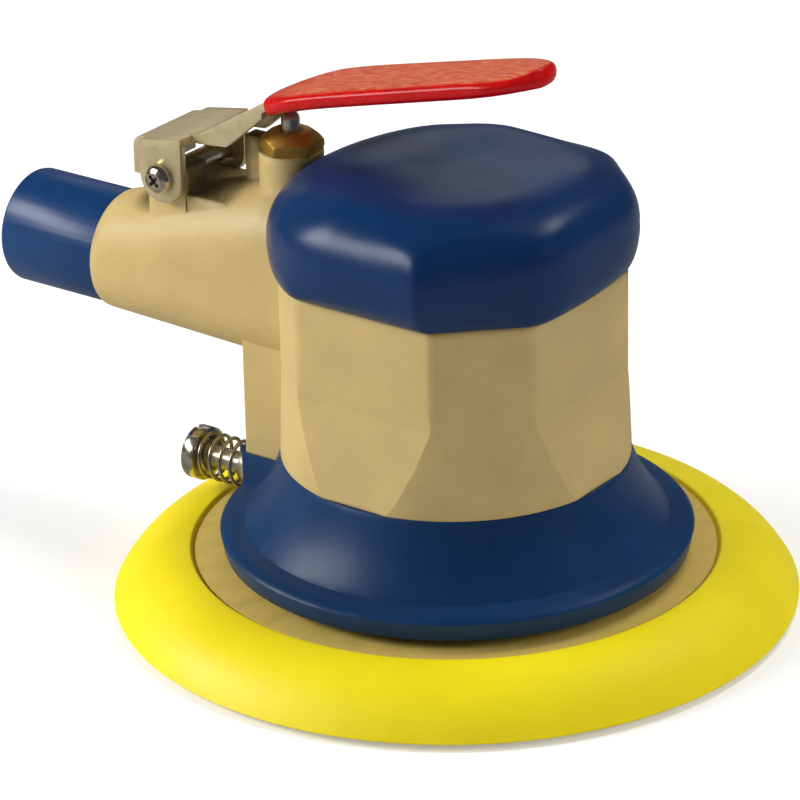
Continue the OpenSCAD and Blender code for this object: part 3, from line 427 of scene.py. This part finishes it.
def foam(name, tint):
    """Moulded foam with a closed skin, small pits and a little dust."""
    finish = Finish(name, Subsurface_Weight=0.06, Subsurface_Scale=3 * MM)
    cloud = finish.grain(30, detail=4, roughness=0.6)
    pit = finish.grain(1500, detail=2, roughness=0.7)
    body = finish.mix(finish.spread(cloud, 0.25, 0.75), shade(tint, 0.93), shade(tint, 1.04))
    pits = finish.spread(pit, 0.66, 0.8, to_high=0.22)
    body = finish.mix(pits, body, shade(tint, 0.6))
    dust = finish.spread(finish.grain(160, detail=5, roughness=0.7), 0.6, 0.8, to_high=0.1)
    finish.set("Base Color", finish.mix(dust, body, shade(tint, 0.72)))
    finish.set("Roughness", finish.spread(cloud, 0.2, 0.8, 0.42, 0.56))
    finish.bump(pit + finish.grain(420, detail=3) * 0.7, 0.05 * MM, strength=0.5)
    return finish.material


def metal(name, tint, gloss, lines=(1.0, 1.0, 1.0), dirt=0.35, shine=1.0):
    """Machined or plated metal with fine tool lines and smudges."""
    finish = Finish(name, Metallic=shine)
    cloud = finish.grain(300, detail=4, roughness=0.6)
    line = finish.grain(2600, detail=2, roughness=0.5, stretch=lines)
    smudge = finish.spread(cloud, 0.48, 0.7, to_high=dirt)
    body = finish.mix(line, shade(tint, 0.9), shade(tint, 1.06))
    finish.set("Base Color", finish.mix(smudge, body, shade(tint, 0.45)))
    finish.set("Roughness", gloss + smudge * 0.3 + line * 0.08)
    finish.bump(line, 0.015 * MM, strength=0.35)
    return finish.material


def cast(name, tint):
    """Rough cast or ground iron."""
    finish = Finish(name, Metallic=1.0)
    lump = finish.grain(700, detail=4, roughness=0.7)
    finish.set("Base Color", finish.mix(lump, shade(tint, 0.7), shade(tint, 1.25)))
    finish.set("Roughness", finish.spread(lump, 0.3, 0.7, 0.4, 0.62))
    finish.bump(lump, 0.08 * MM, strength=0.6)
    return finish.material


def fibrous(name, tint, scale):
    """Pressed board, felt or laminate with a fibrous face."""
    finish = Finish(name)
    fibre = finish.grain(scale, detail=4, roughness=0.7, stretch=(1.0, 0.35, 1.0))
    speck = finish.grain(2 * scale, detail=2, roughness=0.6)
    body = finish.mix(fibre, shade(tint, 0.8), shade(tint, 1.12))
    specks = finish.spread(speck, 0.62, 0.76, to_high=0.35)
    finish.set("Base Color", finish.mix(specks, body, shade(tint, 0.45)))
    finish.set("Roughness", 0.68 + fibre * 0.22)
    finish.bump(fibre + speck * 0.5, 0.06 * MM, strength=0.6)
    return finish.material


def make_finishes():
    """One material for each slot of the record."""
    tints = colours()
    # How much finer the tool lines are along each axis, on turned, ground and drawn metal.
    turned, ground, drawn = (1.0, 1.0, 5.0), (1.0, 1.0, 4.0), (0.2, 1.0, 1.0)
    ground_tint, wire_tint = shade(tints.steel, 0.7), shade(tints.steel, 0.8)
    made = {
        "tan_housing": painted("tan_paint", tints.tan),
        "blue_rubber": rubbery("cap_rubber", tints.cap_blue, gloss=0.27, scuff=0.3, sheen=0.36),
        "blue_shroud": rubbery("skirt_plastic", tints.skirt_blue, gloss=0.33, scuff=0.35, sheen=0.26),
        "blue_hose": rubbery("sleeve_rubber", tints.hose_blue, gloss=0.3, scuff=0.4, sheen=0.42),
        "red_vinyl": dipped_vinyl("lever_vinyl", tints.red, tints.red_worn),
        "lever_steel": metal("lever_nickel", tints.nickel, 0.28, drawn, dirt=0.25, shine=0.6),
        "steel": metal("turned_steel", tints.steel, 0.26, turned, shine=0.85),
        "bright_steel": metal("bright_plating", tints.steel, 0.12, dirt=0.5),
        "bearing_steel": metal("bearing_steel", tints.steel, 0.16, dirt=0.15),
        "spring_steel": metal("spring_wire", wire_tint, 0.22),
        "brass": metal("turned_brass", tints.brass, 0.36, dirt=0.6, shine=0.8),
        "rotor_steel": metal("ground_steel", ground_tint, 0.3, ground),
        "counterweight_iron": cast("weight_iron", shade(tints.iron, 0.8)),
        "end_plate_iron": cast("plate_iron", tints.iron),
        "vane_laminate": fibrous("vane_laminate", tints.laminate, scale=900),
        "yellow_foam": foam("pad_foam_skin", tints.yellow),
        "facing": fibrous("hook_facing", tints.facing, scale=1500),
        "plate_board": fibrous("backing_board", tints.board, scale=700),
        "black_rubber": rubbery("seal_rubber", tints.dark_rubber, gloss=0.45),
        "muffler_felt": fibrous("muffler_felt", tints.felt, scale=500),
    }
    missing = {m["slot"] for m in frame["record"]["materials"]} - set(made)
    if missing:
        raise RuntimeError(f"no finish for the slots {sorted(missing)}")
    return made


FINISHES = {}


# ---- Meshes ----

HAIR = 1e-6  # points as near as this, in metres, are one point


def piece(name, shape, node, smooth_angle):
    """A mesh piece that takes a node's place, rides on its body and wears its finish."""
    verts, faces = shape
    mesh = bpy.data.meshes.new(name)
    mesh.from_pydata(verts, [], faces)
    mesh.validate()
    made = bpy.data.objects.new(name, mesh)
    bpy.context.scene.collection.objects.link(made)
    mesh.materials.append(FINISHES[SLOTS[node]])
    smooth(made, smooth_angle)
    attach(made, BODIES[node])
    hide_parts(node)
    return made


def smooth(obj, angle):
    """Smooth shading with sharp edges above an angle in degrees."""
    for polygon in obj.data.polygons:
        polygon.use_smooth = True
    obj.data.set_sharp_from_angle(angle=math.radians(angle))


def smoothstep(low, high, value):
    """Eases from 0 to 1 as a value goes from low to high."""
    t = min(1.0, max(0.0, (value - low) / (high - low)))
    return t * t * (3 - 2 * t)


def bell(value, middle, spread):
    """1 at the middle, falling off to both sides."""
    return math.exp(-(((value - middle) / spread) ** 2))


def skin(rings):
    """Vertices and faces of a closed surface through rings that all have as many points."""
    count = len(rings[0])
    verts = [point for ring in rings for point in ring]
    faces = []
    for i in range(len(rings) - 1):
        for k in range(count):
            m = (k + 1) % count
            faces.append((i * count + k, i * count + m, (i + 1) * count + m, (i + 1) * count + k))
    faces.append(tuple(reversed(range(count))))
    faces.append(tuple(range((len(rings) - 1) * count, len(rings) * count)))
    return verts, faces


def lathe(profile, centre, steps):
    """Vertices and faces of a profile of (radius, height) turned about an upright axis."""
    turns = [2 * math.pi * k / steps for k in range(steps)]
    rings = []
    for radius, height in profile:
        reach = max(radius, HAIR)
        out = [(reach * math.cos(a), reach * math.sin(a)) for a in turns]
        rings.append([(centre[0] + x, centre[1] + y, height) for x, y in out])
    return skin(rings)


def round_corner(a, b, c, radius, steps=6):
    """Points of a rounding at corner b of a profile that goes from a to c."""
    a, b, c = Vector(a), Vector(b), Vector(c)
    u, v = (a - b).normalized(), (c - b).normalized()
    half = u.angle(v) / 2
    reach = radius / math.tan(half)
    start, end = b + u * reach, b + v * reach
    points = []
    for i in range(steps + 1):
        t = i / steps
        points.append((1 - t) ** 2 * start + 2 * t * (1 - t) * b + t * t * end)
    return [tuple(p) for p in points]


def tube(path, radius, sides=12):
    """Vertices and faces of a round wire along a path."""
    rings = []
    normal = None
    for i, point in enumerate(path):
        ahead = path[min(i + 1, len(path) - 1)]
        behind = path[max(i - 1, 0)]
        along = (ahead - behind).normalized()
        if normal is None:
            normal = along.orthogonal().normalized()
        normal = (normal - along * normal.dot(along)).normalized()
        across = along.cross(normal)
        ring = []
        for k in range(sides):
            turn = 2 * math.pi * k / sides
            ring.append(point + radius * (math.cos(turn) * normal + math.sin(turn) * across))
        rings.append(ring)
    return skin(rings)


# ---- The frame's own nodes ----

# Rounding of the edges in millimetres. Nodes that aren't listed keep their own faces and normals.
ROUNDED = {
    "shroud": 0.45,
    "lever": 0.7,
    "exhaust_sleeve": 0.3,
    "valve_cap": 0.2,
    "inlet_bushing": 0.25,
    "pivot_nut": 0.2,
    "lock_knob": 0.35,
    "pin_bushing": 0.2,
    "pad_plate": 0.3,
    "pad_hub": 0.3,
    "pad_face": 0.25,
    "spindle": 0.2,
    "balancer_shaft": 0.4,
    "lock_ring": 0.3,
    "lower_end_plate": 0.3,
    "upper_end_plate": 0.3,
    "cylinder_liner": 0.3,
    "rotor": 0.2,
}
# Angles in degrees above which an edge stays sharp, or gets rounded.
SHARP_ANGLE, SHROUD_SHARP_ANGLE, BEVEL_ANGLE = 30.0, 20.0, 35.0


def bevel(obj, width):
    """Rounds an object's sharp edges without touching its faces' shading."""
    made = obj.modifiers.new("rounding", "BEVEL")
    made.width = width
    made.segments = 2
    made.limit_method = "ANGLE"
    made.angle_limit = math.radians(BEVEL_ANGLE)
    made.harden_normals = True
    made.use_clamp_overlap = True


class SANDER_OT_finish_nodes(bpy.types.Operator):
    """Give every node of the frame its finish, and round the edges of the nodes listed in ROUNDED"""

    bl_idname = "sander.finish_nodes"
    bl_label = "Finish the frame's nodes"

    def execute(self, context):
        FINISHES.update(make_finishes())
        for name, node in NODES.items():
            node.data.materials.clear()
            node.data.materials.append(FINISHES[SLOTS[name]])
            if name in ROUNDED:
                smooth(node, SHROUD_SHARP_ANGLE if name == "shroud" else SHARP_ANGLE)
                weld = node.modifiers.new("weld", "WELD")
                weld.merge_threshold = HAIR
                bevel(node, ROUNDED[name] * MM)
        return {"FINISHED"}


# ---- Rubber cap ----

# Bearings are in degrees from +X and positive towards +Y. A pair is where a form begins to fade in
# or out and where that is done, and a spread is how far a form reaches to both sides.
FACE_BEARINGS = (-90, 0, 90)
NEAR_CORNER, FAR_CORNER = -45, 45
FRONT_STARTS, FRONT_ENDS, LIP_ENDS = (-50, -20), (45, 60), (-5, 25)
CREASE, CREASE_SPREAD = 64, 14
DIP, DIP_SPREAD = 75, 34
REAR_FADES = (0.15, 0.6)  # in shares of the way from the side to the rear

# How sharply the outline turns its corners: at the creases, on most of it, low at the front, on top.
CRISP, SOFT, LOW_FRONT, ON_TOP = 100, 14, 24, 8
TOP_SOFTENS = (0.25, 0.85)  # in shares of the height over the belly

# The shoulder is a quarter of a rounded square, and the mould line lies at a share of the height.
ROUNDNESS = 2.15
DIP_DEEPENS = (0.15, 0.95)  # in shares of the shoulder's length
SEAM_SHARE, SEAM_WIDTH = 0.36, 0.35 * MM
CAP_SIDES, BELLY_RINGS, SHOULDER_RINGS, DISH_RINGS = 320, 12, 33, 12


def bearing_of(angle):
    """An angle in radians as a bearing from -180 to 180 degrees."""
    return math.degrees(math.remainder(angle, 2 * math.pi))


def pull(angle, bearing, distance, power):
    """What one face of the outline adds to the sum of them all, and 0 where it faces away."""
    facing = math.cos(angle - math.radians(bearing))
    return (facing / distance) ** power if facing > 0 else 0.0


def cap_outline(angle, under, rise):
    """Distance of the cap's outline from the motor axis at an angle.

    Under runs from 0 at the belly to 1 at the lower edge, and rise from 0 at the belly to 1 at the
    top. The corners soften as the cap rises.
    """
    s = sizes()
    bearing = bearing_of(angle)
    near = smoothstep(*FRONT_STARTS, bearing)
    front = near * (1 - smoothstep(*FRONT_ENDS, bearing))
    lip = near * (1 - smoothstep(*LIP_ENDS, bearing))
    out = s.bulge - (s.bulge - s.tuck - s.front_lip * lip) * under
    power = SOFT + (LOW_FRONT - SOFT) * under * lip
    power += (CRISP - power) * max(bell(abs(bearing), CREASE, CREASE_SPREAD), under * (1 - front))
    power += (ON_TOP - power) * smoothstep(*TOP_SOFTENS, rise)
    total = sum(pull(angle, face, s.flat_r + out, power) for face in FACE_BEARINGS)
    total += pull(angle, NEAR_CORNER, s.corner_r + s.round_swell * out, power)
    total += pull(angle, FAR_CORNER, s.corner_r + s.far_swell * out, power)
    rearward = -math.cos(angle)
    if rearward > 0:
        total += smoothstep(*REAR_FADES, rearward) * (s.rear_r + s.round_swell * out) ** -power
    return total ** (-1 / power)


def cap_levels(belly, top):
    """Levels of the cap from its lower edge to its top, as (under, inward, height).

    Under is that of cap_outline, and inward runs from 0 at the belly to 1 at the shoulder's end.
    """
    levels = []
    for i in range(BELLY_RINGS + 1):
        turn = math.pi / 2 * i / BELLY_RINGS
        levels.append((1 - math.sin(turn), 0.0, belly - sizes().belly * math.cos(turn)))
    for i in range(1, SHOULDER_RINGS + 1):
        rise = math.sin(math.radians(90 * i / SHOULDER_RINGS))
        inward = 1 - (1 - rise**ROUNDNESS) ** (1 / ROUNDNESS)
        levels.append((0.0, inward, belly + (top - belly) * rise))
    return levels


class SANDER_OT_make_cap(bpy.types.Operator):
    """Build the rubber cap with its rounded shoulder, dished top and mould line"""

    bl_idname = "sander.make_cap"
    bl_label = "Rubber cap"

    def execute(self, context):
        s = sizes()
        low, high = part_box("grip_cap")
        foot, top = low.z, high.z
        belly = foot + s.belly
        seam_z = foot + SEAM_SHARE * (top - foot)
        rings = []
        for under, inward, height in cap_levels(belly, top):
            climb = (height - belly) / (top - belly)
            groove = s.seam * bell(height, seam_z, SEAM_WIDTH)
            ring = []
            for k in range(CAP_SIDES):
                angle = 2 * math.pi * k / CAP_SIDES
                front, rear = max(0.0, math.cos(angle)) ** 2, max(0.0, -math.cos(angle)) ** 2
                shoulder = s.shoulder + s.back_slope * rear
                reach = cap_outline(angle, under, climb) - inward * shoulder - groove
                sideways = bell(abs(bearing_of(angle)), DIP, DIP_SPREAD)
                dip = s.side_dip * sideways * smoothstep(*DIP_DEEPENS, inward)
                lift = s.front_lift * front * math.sin(math.pi * (height - foot) / (top - foot))
                ring.append((reach * math.cos(angle), reach * math.sin(angle), height - dip + lift))
            rings.append(ring)
        edge = rings[-1]
        for i in range(1, DISH_RINGS):
            t = i / DISH_RINGS
            ease = smoothstep(0.0, 1.0, t)
            sink = s.dish * ease
            rings.append([(x * (1 - t), y * (1 - t), z + (top - z) * ease - sink) for x, y, z in edge])
        piece("rubber_cap", skin(rings), "grip_cap", smooth_angle=60.0)
        return {"FINISHED"}


# ---- Pad ----

# Points of the foam's profile as (outward, upward) in millimetres: from the facing's edge on the
# underside, from the foam's greatest radius, and from the upper edge of the plate's recess.
FACING_EDGE = ((-2.0, 0.0), (0.4, 0.0), (1.6, 0.14))
OUTER_EDGE = ((-0.5, 0.5), (-0.12, 0.75))
WALL_START = (0.02, -1.2)
# The foam's top swells from its rim up to a narrow lip round the recess, whose edge is rounded.
RIM_HEIGHT, FOAM_BULGE = 1.0 * MM, 2.8 * MM
LIP_WIDTH, LIP_ROUND, LIP_WALL = 0.8 * MM, 0.7 * MM, 1.5 * MM
SLOPE_STEPS, PAD_SIDES = 28, 256


class SANDER_OT_make_pad(bpy.types.Operator):
    """Build the foam pad with its bulging top and round edge"""

    bl_idname = "sander.make_pad"
    bl_label = "Foam pad"

    def execute(self, context):
        low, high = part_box("pad_foam")
        plate_low, plate_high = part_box("pad_plate")
        face_low, face_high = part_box("pad_face")
        centre = ((low.x + high.x) / 2, (low.y + high.y) / 2)
        radius = (high.x - low.x) / 2
        recess = (plate_high.x - plate_low.x) / 2
        facing = (face_high.x - face_low.x) / 2
        start = Vector((radius, low.z + RIM_HEIGHT))
        end = Vector((recess + LIP_WIDTH, high.z))
        run = end - start
        out = Vector((run.y, -run.x)).normalized()
        profile = [(0.0, low.z)]
        profile += [(facing + across * MM, low.z + up * MM) for across, up in FACING_EDGE]
        profile += [(radius + across * MM, low.z + up * MM) for across, up in OUTER_EDGE]
        for t in (i / SLOPE_STEPS for i in range(SLOPE_STEPS)):
            profile.append(tuple(start + run * t + out * 4 * FOAM_BULGE * t * (1 - t)))
        profile += round_corner(profile[-1], tuple(end), (recess, high.z - LIP_WALL), LIP_ROUND)
        profile.append((recess + WALL_START[0] * MM, high.z + WALL_START[1] * MM))
        profile += [(recess, plate_low.z), (0.0, plate_low.z)]
        made = piece("foam_pad", lathe(profile, centre, PAD_SIDES), "pad_foam", smooth_angle=50.0)
        return {"FINISHED"}


# ---- Lever ----


def onward(start, run, slope):
    """The end of a straight run at a slope from a place, both as (along, up)."""
    return start + run * Vector((math.cos(slope), math.sin(slope)))


# The top line of the lever's sheet goes from a fold over the hinge along its plate to the knee, up
# the neck to the elbow, and along the grip to the tip.
FOLD_BACK, FOLD_RISE = 5.8 * MM, 8.0 * MM
PLATE_RUN, NECK_RUN, GRIP_RUN = 13.5 * MM, 26.5 * MM, 66.0 * MM
PLATE_SLOPE, NECK_SLOPE, GRIP_SLOPE = math.radians(9.8), math.radians(31.3), math.radians(13.8)
FOLD = Vector((HINGE_X - FOLD_BACK, HINGE_Z + FOLD_RISE))
KNEE = onward(FOLD, PLATE_RUN, PLATE_SLOPE)
ELBOW = onward(KNEE, NECK_RUN, NECK_SLOPE)
TIP = onward(ELBOW, GRIP_RUN, GRIP_SLOPE)
ELBOW_SOFTNESS = 1.6 * MM

# The vinyl starts along a slant over the valve, flares out to the grip and closes over a round end.
VINYL_NEAR, VINYL_SLANT = VALVE_X + 0.2 * MM, 8.7 * MM
FLARE_START, FLARE_END = VALVE_X - 3.3 * MM, VALVE_X + 8.2 * MM
TIP_RUN = 12.2 * MM

# Places along the vinyl from 0 to 1: its closed mouth, as (place, share of the full section), then
# even stations up to the round end, where they crowd together.
MOUTH = ((0.0, 0.3), (0.0, 0.8), (0.004, 0.95), (0.012, 1.0))
FIRST_PLACE, STATIONS, END_STATIONS, END_RINGS = 0.02, 60, 14, 24
MOUTH_WIDTH = 0.9
VINYL_SIDES = 40

# The section is a rounded box. A lower power is a squarer one, and it gets rounder towards the tip.
POWER_ACROSS, POWER_OVER, POWER_GAIN = 0.42, 0.62, 0.3
ROUNDER_FROM = 0.75
SLOPE_STEP = 0.1 * MM


def lever_height(x):
    """Height of the lever's top at a place along the tool, with a soft bend at the elbow."""
    neck = KNEE.y + (x - KNEE.x) * math.tan(NECK_SLOPE)
    grip = ELBOW.y + (x - ELBOW.x) * math.tan(GRIP_SLOPE)
    soft = ELBOW_SOFTNESS
    both = math.exp(-(neck - ELBOW.y) / soft) + math.exp(-(grip - ELBOW.y) / soft)
    return -soft * math.log(both) + ELBOW.y


def lever_normal(x):
    """Direction away from the lever's top at a place along the tool."""
    rise = lever_height(x + SLOPE_STEP) - lever_height(x - SLOPE_STEP)
    return Vector((-rise / (2 * SLOPE_STEP), 1.0)).normalized()


def grip_half_width(x):
    """Half of the vinyl's width at a place along the tool."""
    s = sizes()
    neck = s.neck_w / 2 + s.vinyl_t
    wide = s.grip_w / 2
    end = s.grip_end_w / 2
    end_x = TIP.x + s.vinyl_t - TIP_RUN
    if x > end_x:
        return end * math.sqrt(max(0.0, 1 - ((x - end_x) / TIP_RUN) ** 2))
    if x > FLARE_END:
        return wide + (end - wide) * (x - FLARE_END) / (end_x - FLARE_END)
    return neck + (wide - neck) * smoothstep(FLARE_START, FLARE_END, x)


def vinyl_places():
    """Places along the vinyl, each with the share of its full section there."""
    places = list(MOUTH)
    for i in range(1, STATIONS + 1 - END_STATIONS):
        places.append((FIRST_PLACE + (1 - FIRST_PLACE) * (i / STATIONS), 1.0))
    straight = places[-1][0]
    for i in range(1, END_RINGS + 1):
        turn = math.pi / 2 * i / END_RINGS
        places.append((straight + (1 - straight) * math.sin(turn), 1.0))
    return places


class SANDER_OT_make_lever_sleeve(bpy.types.Operator):
    """Build the dipped vinyl sleeve on the throttle lever"""

    bl_idname = "sander.make_lever_sleeve"
    bl_label = "Lever sleeve"

    def execute(self, context):
        s = sizes()
        thick = (s.sheet_t + 2 * s.vinyl_t) / 2
        end_x = TIP.x + s.vinyl_t
        rings = []
        for place, full in vinyl_places():
            gain = POWER_GAIN * smoothstep(ROUNDER_FROM, 1.0, place)
            ring = []
            for k in range(VINYL_SIDES):
                turn = 2 * math.pi * k / VINYL_SIDES
                c, d = math.cos(turn), math.sin(turn)
                across = math.copysign(abs(c) ** (POWER_ACROSS + gain), c)
                over = math.copysign(abs(d) ** (POWER_OVER + gain), d)
                near_x = VINYL_NEAR - VINYL_SLANT * (across + 1) / 2
                x = near_x + (end_x - near_x) * place
                wide = grip_half_width(x)
                slim = min(1.0, (wide / (thick * 2)) ** 0.5) if x > end_x - TIP_RUN else 1.0
                normal = lever_normal(x)
                middle = Vector((x, lever_height(x))) - normal * s.sheet_t / 2
                point = middle + normal * over * thick * full * slim
                aside = across * wide * (MOUTH_WIDTH + (1 - MOUTH_WIDTH) * full)
                ring.append((point.x, aside, point.y))
            rings.append(ring)
        piece("lever_vinyl", skin(rings), "lever_sleeve", smooth_angle=70.0)
        return {"FINISHED"}


# ---- Springs ----

COIL_TURNS, COIL_STEPS = 4, 40
COIL_EASE = 0.12  # share of the turns at each end over which they close up
LOCK_COIL_OPEN = 0.5 * MM  # how much wider than its solid the lock pin's spring is wound


def coil_path(start, axis, side, radius, wire, height):
    """Centre line of a helical spring whose end turns close up."""
    up = axis.cross(side)
    count = COIL_TURNS * COIL_STEPS
    points = []
    for i in range(count + 1):
        t = i / count
        if t < COIL_EASE:
            climb = t * t / COIL_EASE / 2
        elif t > 1 - COIL_EASE:
            climb = 1 - COIL_EASE - (1 - t) ** 2 / COIL_EASE / 2
        else:
            climb = t - COIL_EASE / 2
        turn = 2 * math.pi * COIL_TURNS * t
        around = math.cos(turn) * side + math.sin(turn) * up
        along = wire + (height - 2 * wire) * climb / (1 - COIL_EASE)
        points.append(start + axis * along + around * radius)
    return points


def coil(name, node, start, axis, side, radius, height):
    """A spring that is wound from its fixed end and takes a node's place."""
    wire = sizes().wire_r
    path = coil_path(Vector(start), Vector(axis), Vector(side), radius, wire, height)
    return piece(name, tube(path, wire), node, smooth_angle=40.0)


class SANDER_OT_make_springs(bpy.types.Operator):
    """Wind the lock pin's spring and the valve's spring"""

    bl_idname = "sander.make_springs"
    bl_label = "Springs"

    def execute(self, context):
        wire = sizes().wire_r
        low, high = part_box("lock_spring")
        anchor = (high.x, (low.y + high.y) / 2, (low.z + high.z) / 2)
        radius = (high.z - low.z) / 2 - wire + LOCK_COIL_OPEN
        height = high.x - low.x
        lock = coil("lock_coil", "lock_spring", anchor, (-1, 0, 0), (0, 1, 0), radius, height)
        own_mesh(lock)
        low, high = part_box("valve_spring")
        middle = (low + high) / 2
        anchor = (middle.x, middle.y, low.z)
        radius = (high.x - low.x) / 2 - wire
        height = high.z - low.z
        valve = coil("valve_coil", "valve_spring", anchor, (0, 0, 1), (1, 0, 0), radius, height)
        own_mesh(valve)
        return {"FINISHED"}


# ---- Stage ----

# The camera stands at a distance from the point it looks at, with its angles in degrees.
VIEW_TARGET = Vector((-9.29, -7.74, 47.73)) * MM
VIEW_DISTANCE = 0.98
VIEW_AZIMUTH, VIEW_ELEVATION, VIEW_ROLL = -53.5, 23.943, -1.215
SENSOR_WIDTH = 36.0
VIEW_REACH = 20.0

# Lamps as (name, place, width, height, watts, seen in reflections), all turned to one point.
LAMP_TARGET = Vector((-0.01, 0.0, 0.06))
LAMPS = (
    ("key_lamp", (-1.15, -0.5, 0.4), 0.5, 0.3, 7.0, False),
    ("strip_lamp", (-0.76, -0.64, 0.58), 0.75, 0.36, 8.0, True),
    ("top_lamp", (0.1, 0.35, 1.1), 0.4, 0.3, 4.2, False),
    ("fill_lamp", (0.95, 0.3, 0.5), 0.5, 0.5, 3.2, False),
    ("back_lamp", (-0.62, 0.84, 0.5), 0.5, 0.35, 0.3, True),
    ("rim_lamp", (0.34, 0.62, 0.97), 0.36, 0.12, 1.2, True),
)

# Half of the floor's side, its grey as lit and as mirrored, and its glow, which rises with distance.
FLOOR_HALF = 6.0
FLOOR_GREY, FLOOR_MIRRORED = 0.82, 0.3
GLOW_NEAR, GLOW_FAR, GLOW_RISES = 0.3, 0.8, (0.3, 1.8)

# Strength of the world as light, what is added where it is seen, and what mirrors don't show of it.
WORLD_LIGHT, WORLD_SEEN, WORLD_UNMIRRORED = 0.2, 0.8, 0.12


def grey(value):
    return (value, value, value)


class SANDER_OT_make_stage(bpy.types.Operator):
    """Set up the camera, the lamps, the floor and the world"""

    bl_idname = "sander.make_stage"
    bl_label = "Studio"

    def execute(self, context):
        scene = context.scene
        scene.view_settings.view_transform = "Standard"
        self.make_camera(scene)
        self.make_lamps(scene)
        self.make_floor(scene)
        self.make_world(scene)
        return {"FINISHED"}

    def make_camera(self, scene):
        data = bpy.data.cameras.new("camera")
        data.lens = sizes().camera_lens
        data.sensor_width = SENSOR_WIDTH
        data.clip_end = VIEW_REACH
        camera = bpy.data.objects.new("camera", data)
        scene.collection.objects.link(camera)
        azimuth, elevation = math.radians(VIEW_AZIMUTH), math.radians(VIEW_ELEVATION)
        level = math.cos(elevation)
        away = Vector((level * math.cos(azimuth), level * math.sin(azimuth), math.sin(elevation)))
        camera.location = VIEW_TARGET + VIEW_DISTANCE * away
        turn = away.to_track_quat("Z", "Y") @ Quaternion((0.0, 0.0, 1.0), math.radians(VIEW_ROLL))
        camera.rotation_euler = turn.to_euler()
        scene.camera = camera

    def make_lamps(self, scene):
        for name, place, width, height, power, seen in LAMPS:
            data = bpy.data.lights.new(name, "AREA")
            data.shape = "RECTANGLE"
            data.size = width
            data.size_y = height
            data.energy = power
            lamp = bpy.data.objects.new(name, data)
            scene.collection.objects.link(lamp)
            lamp.location = place
            lamp.visible_glossy = seen
            aim = LAMP_TARGET - Vector(place)
            lamp.rotation_euler = aim.to_track_quat("-Z", "Y").to_euler()

    def make_floor(self, scene):
        mesh = bpy.data.meshes.new("floor")
        far = FLOOR_HALF
        corners = [(-far, -far, 0), (far, -far, 0), (far, far, 0), (-far, far, 0)]
        mesh.from_pydata(corners, [], [(0, 1, 2, 3)])
        floor = bpy.data.objects.new("floor", mesh)
        floor.location.z = CAD_BOX[0][2]
        scene.collection.objects.link(floor)
        finish = Finish("floor_paper", Roughness=0.9, Specular_IOR_Level=0.1)
        mirrored = finish.node("ShaderNodeLightPath", out="Is Glossy Ray")
        finish.set("Base Color", finish.mix(mirrored, grey(FLOOR_GREY), grey(FLOOR_MIRRORED)))
        length_of = {"operation": "LENGTH"}
        away = finish.node("ShaderNodeVectorMath", length_of, {0: finish.place}, out="Value")
        glow = finish.mix(finish.spread(away, *GLOW_RISES), grey(GLOW_NEAR), grey(GLOW_FAR))
        seen = finish.node("ShaderNodeLightPath", out="Is Camera Ray")
        finish.set("Emission Color", finish.mix(seen, grey(0.0), glow))
        finish.set("Emission Strength", 1.0)
        mesh.materials.append(finish.material)

    def make_world(self, scene):
        scene.world = bpy.data.worlds.new("studio")
        sky = Graph(scene.world)
        seen = sky.node("ShaderNodeLightPath", out="Is Camera Ray")
        clear = sky.node("ShaderNodeLightPath", out="Is Transmission Ray")
        glossy = sky.node("ShaderNodeLightPath", out="Is Glossy Ray")
        strength = (seen + clear).clamp() * WORLD_SEEN + WORLD_LIGHT - glossy * WORLD_UNMIRRORED
        light = {"Color": solid(grey(1.0)), "Strength": strength}
        plain = sky.node("ShaderNodeBackground", plugs=light)
        sky.node("ShaderNodeOutputWorld", plugs={"Surface": plain})


# ---- Panel and registration ----


class SANDER_PT_pieces(bpy.types.Panel):
    """Lists the sander's pieces"""

    bl_idname = "SANDER_PT_pieces"
    bl_label = "Orbital sander"
    bl_space_type = "VIEW_3D"
    bl_region_type = "UI"
    bl_category = "Sander"

    def draw(self, context):
        for operator in OPERATORS:
            self.layout.operator(operator.bl_idname)
        for group in (sizes(), colours()):
            box = self.layout.box()
            for name in group.__annotations__:
                box.prop(group, name)


OPERATORS = (
    SANDER_OT_make_stage,
    SANDER_OT_finish_nodes,
    SANDER_OT_make_cap,
    SANDER_OT_make_pad,
    SANDER_OT_make_lever_sleeve,
    SANDER_OT_make_springs,
)
CLASSES = (SanderSizes, SanderColours, *OPERATORS, SANDER_PT_pieces)


def register():
    for item in CLASSES:
        bpy.utils.register_class(item)
    bpy.types.Scene.sander_sizes = bpy.props.PointerProperty(type=SanderSizes)
    bpy.types.Scene.sander_colours = bpy.props.PointerProperty(type=SanderColours)


def unregister():
    del bpy.types.Scene.sander_colours
    del bpy.types.Scene.sander_sizes
    for item in reversed(CLASSES):
        bpy.utils.unregister_class(item)


def main():
    register()
    for operator in OPERATORS:
        area, call = operator.bl_idname.split(".")
        getattr(getattr(bpy.ops, area), call)()


if __name__ == "__main__":
    main()
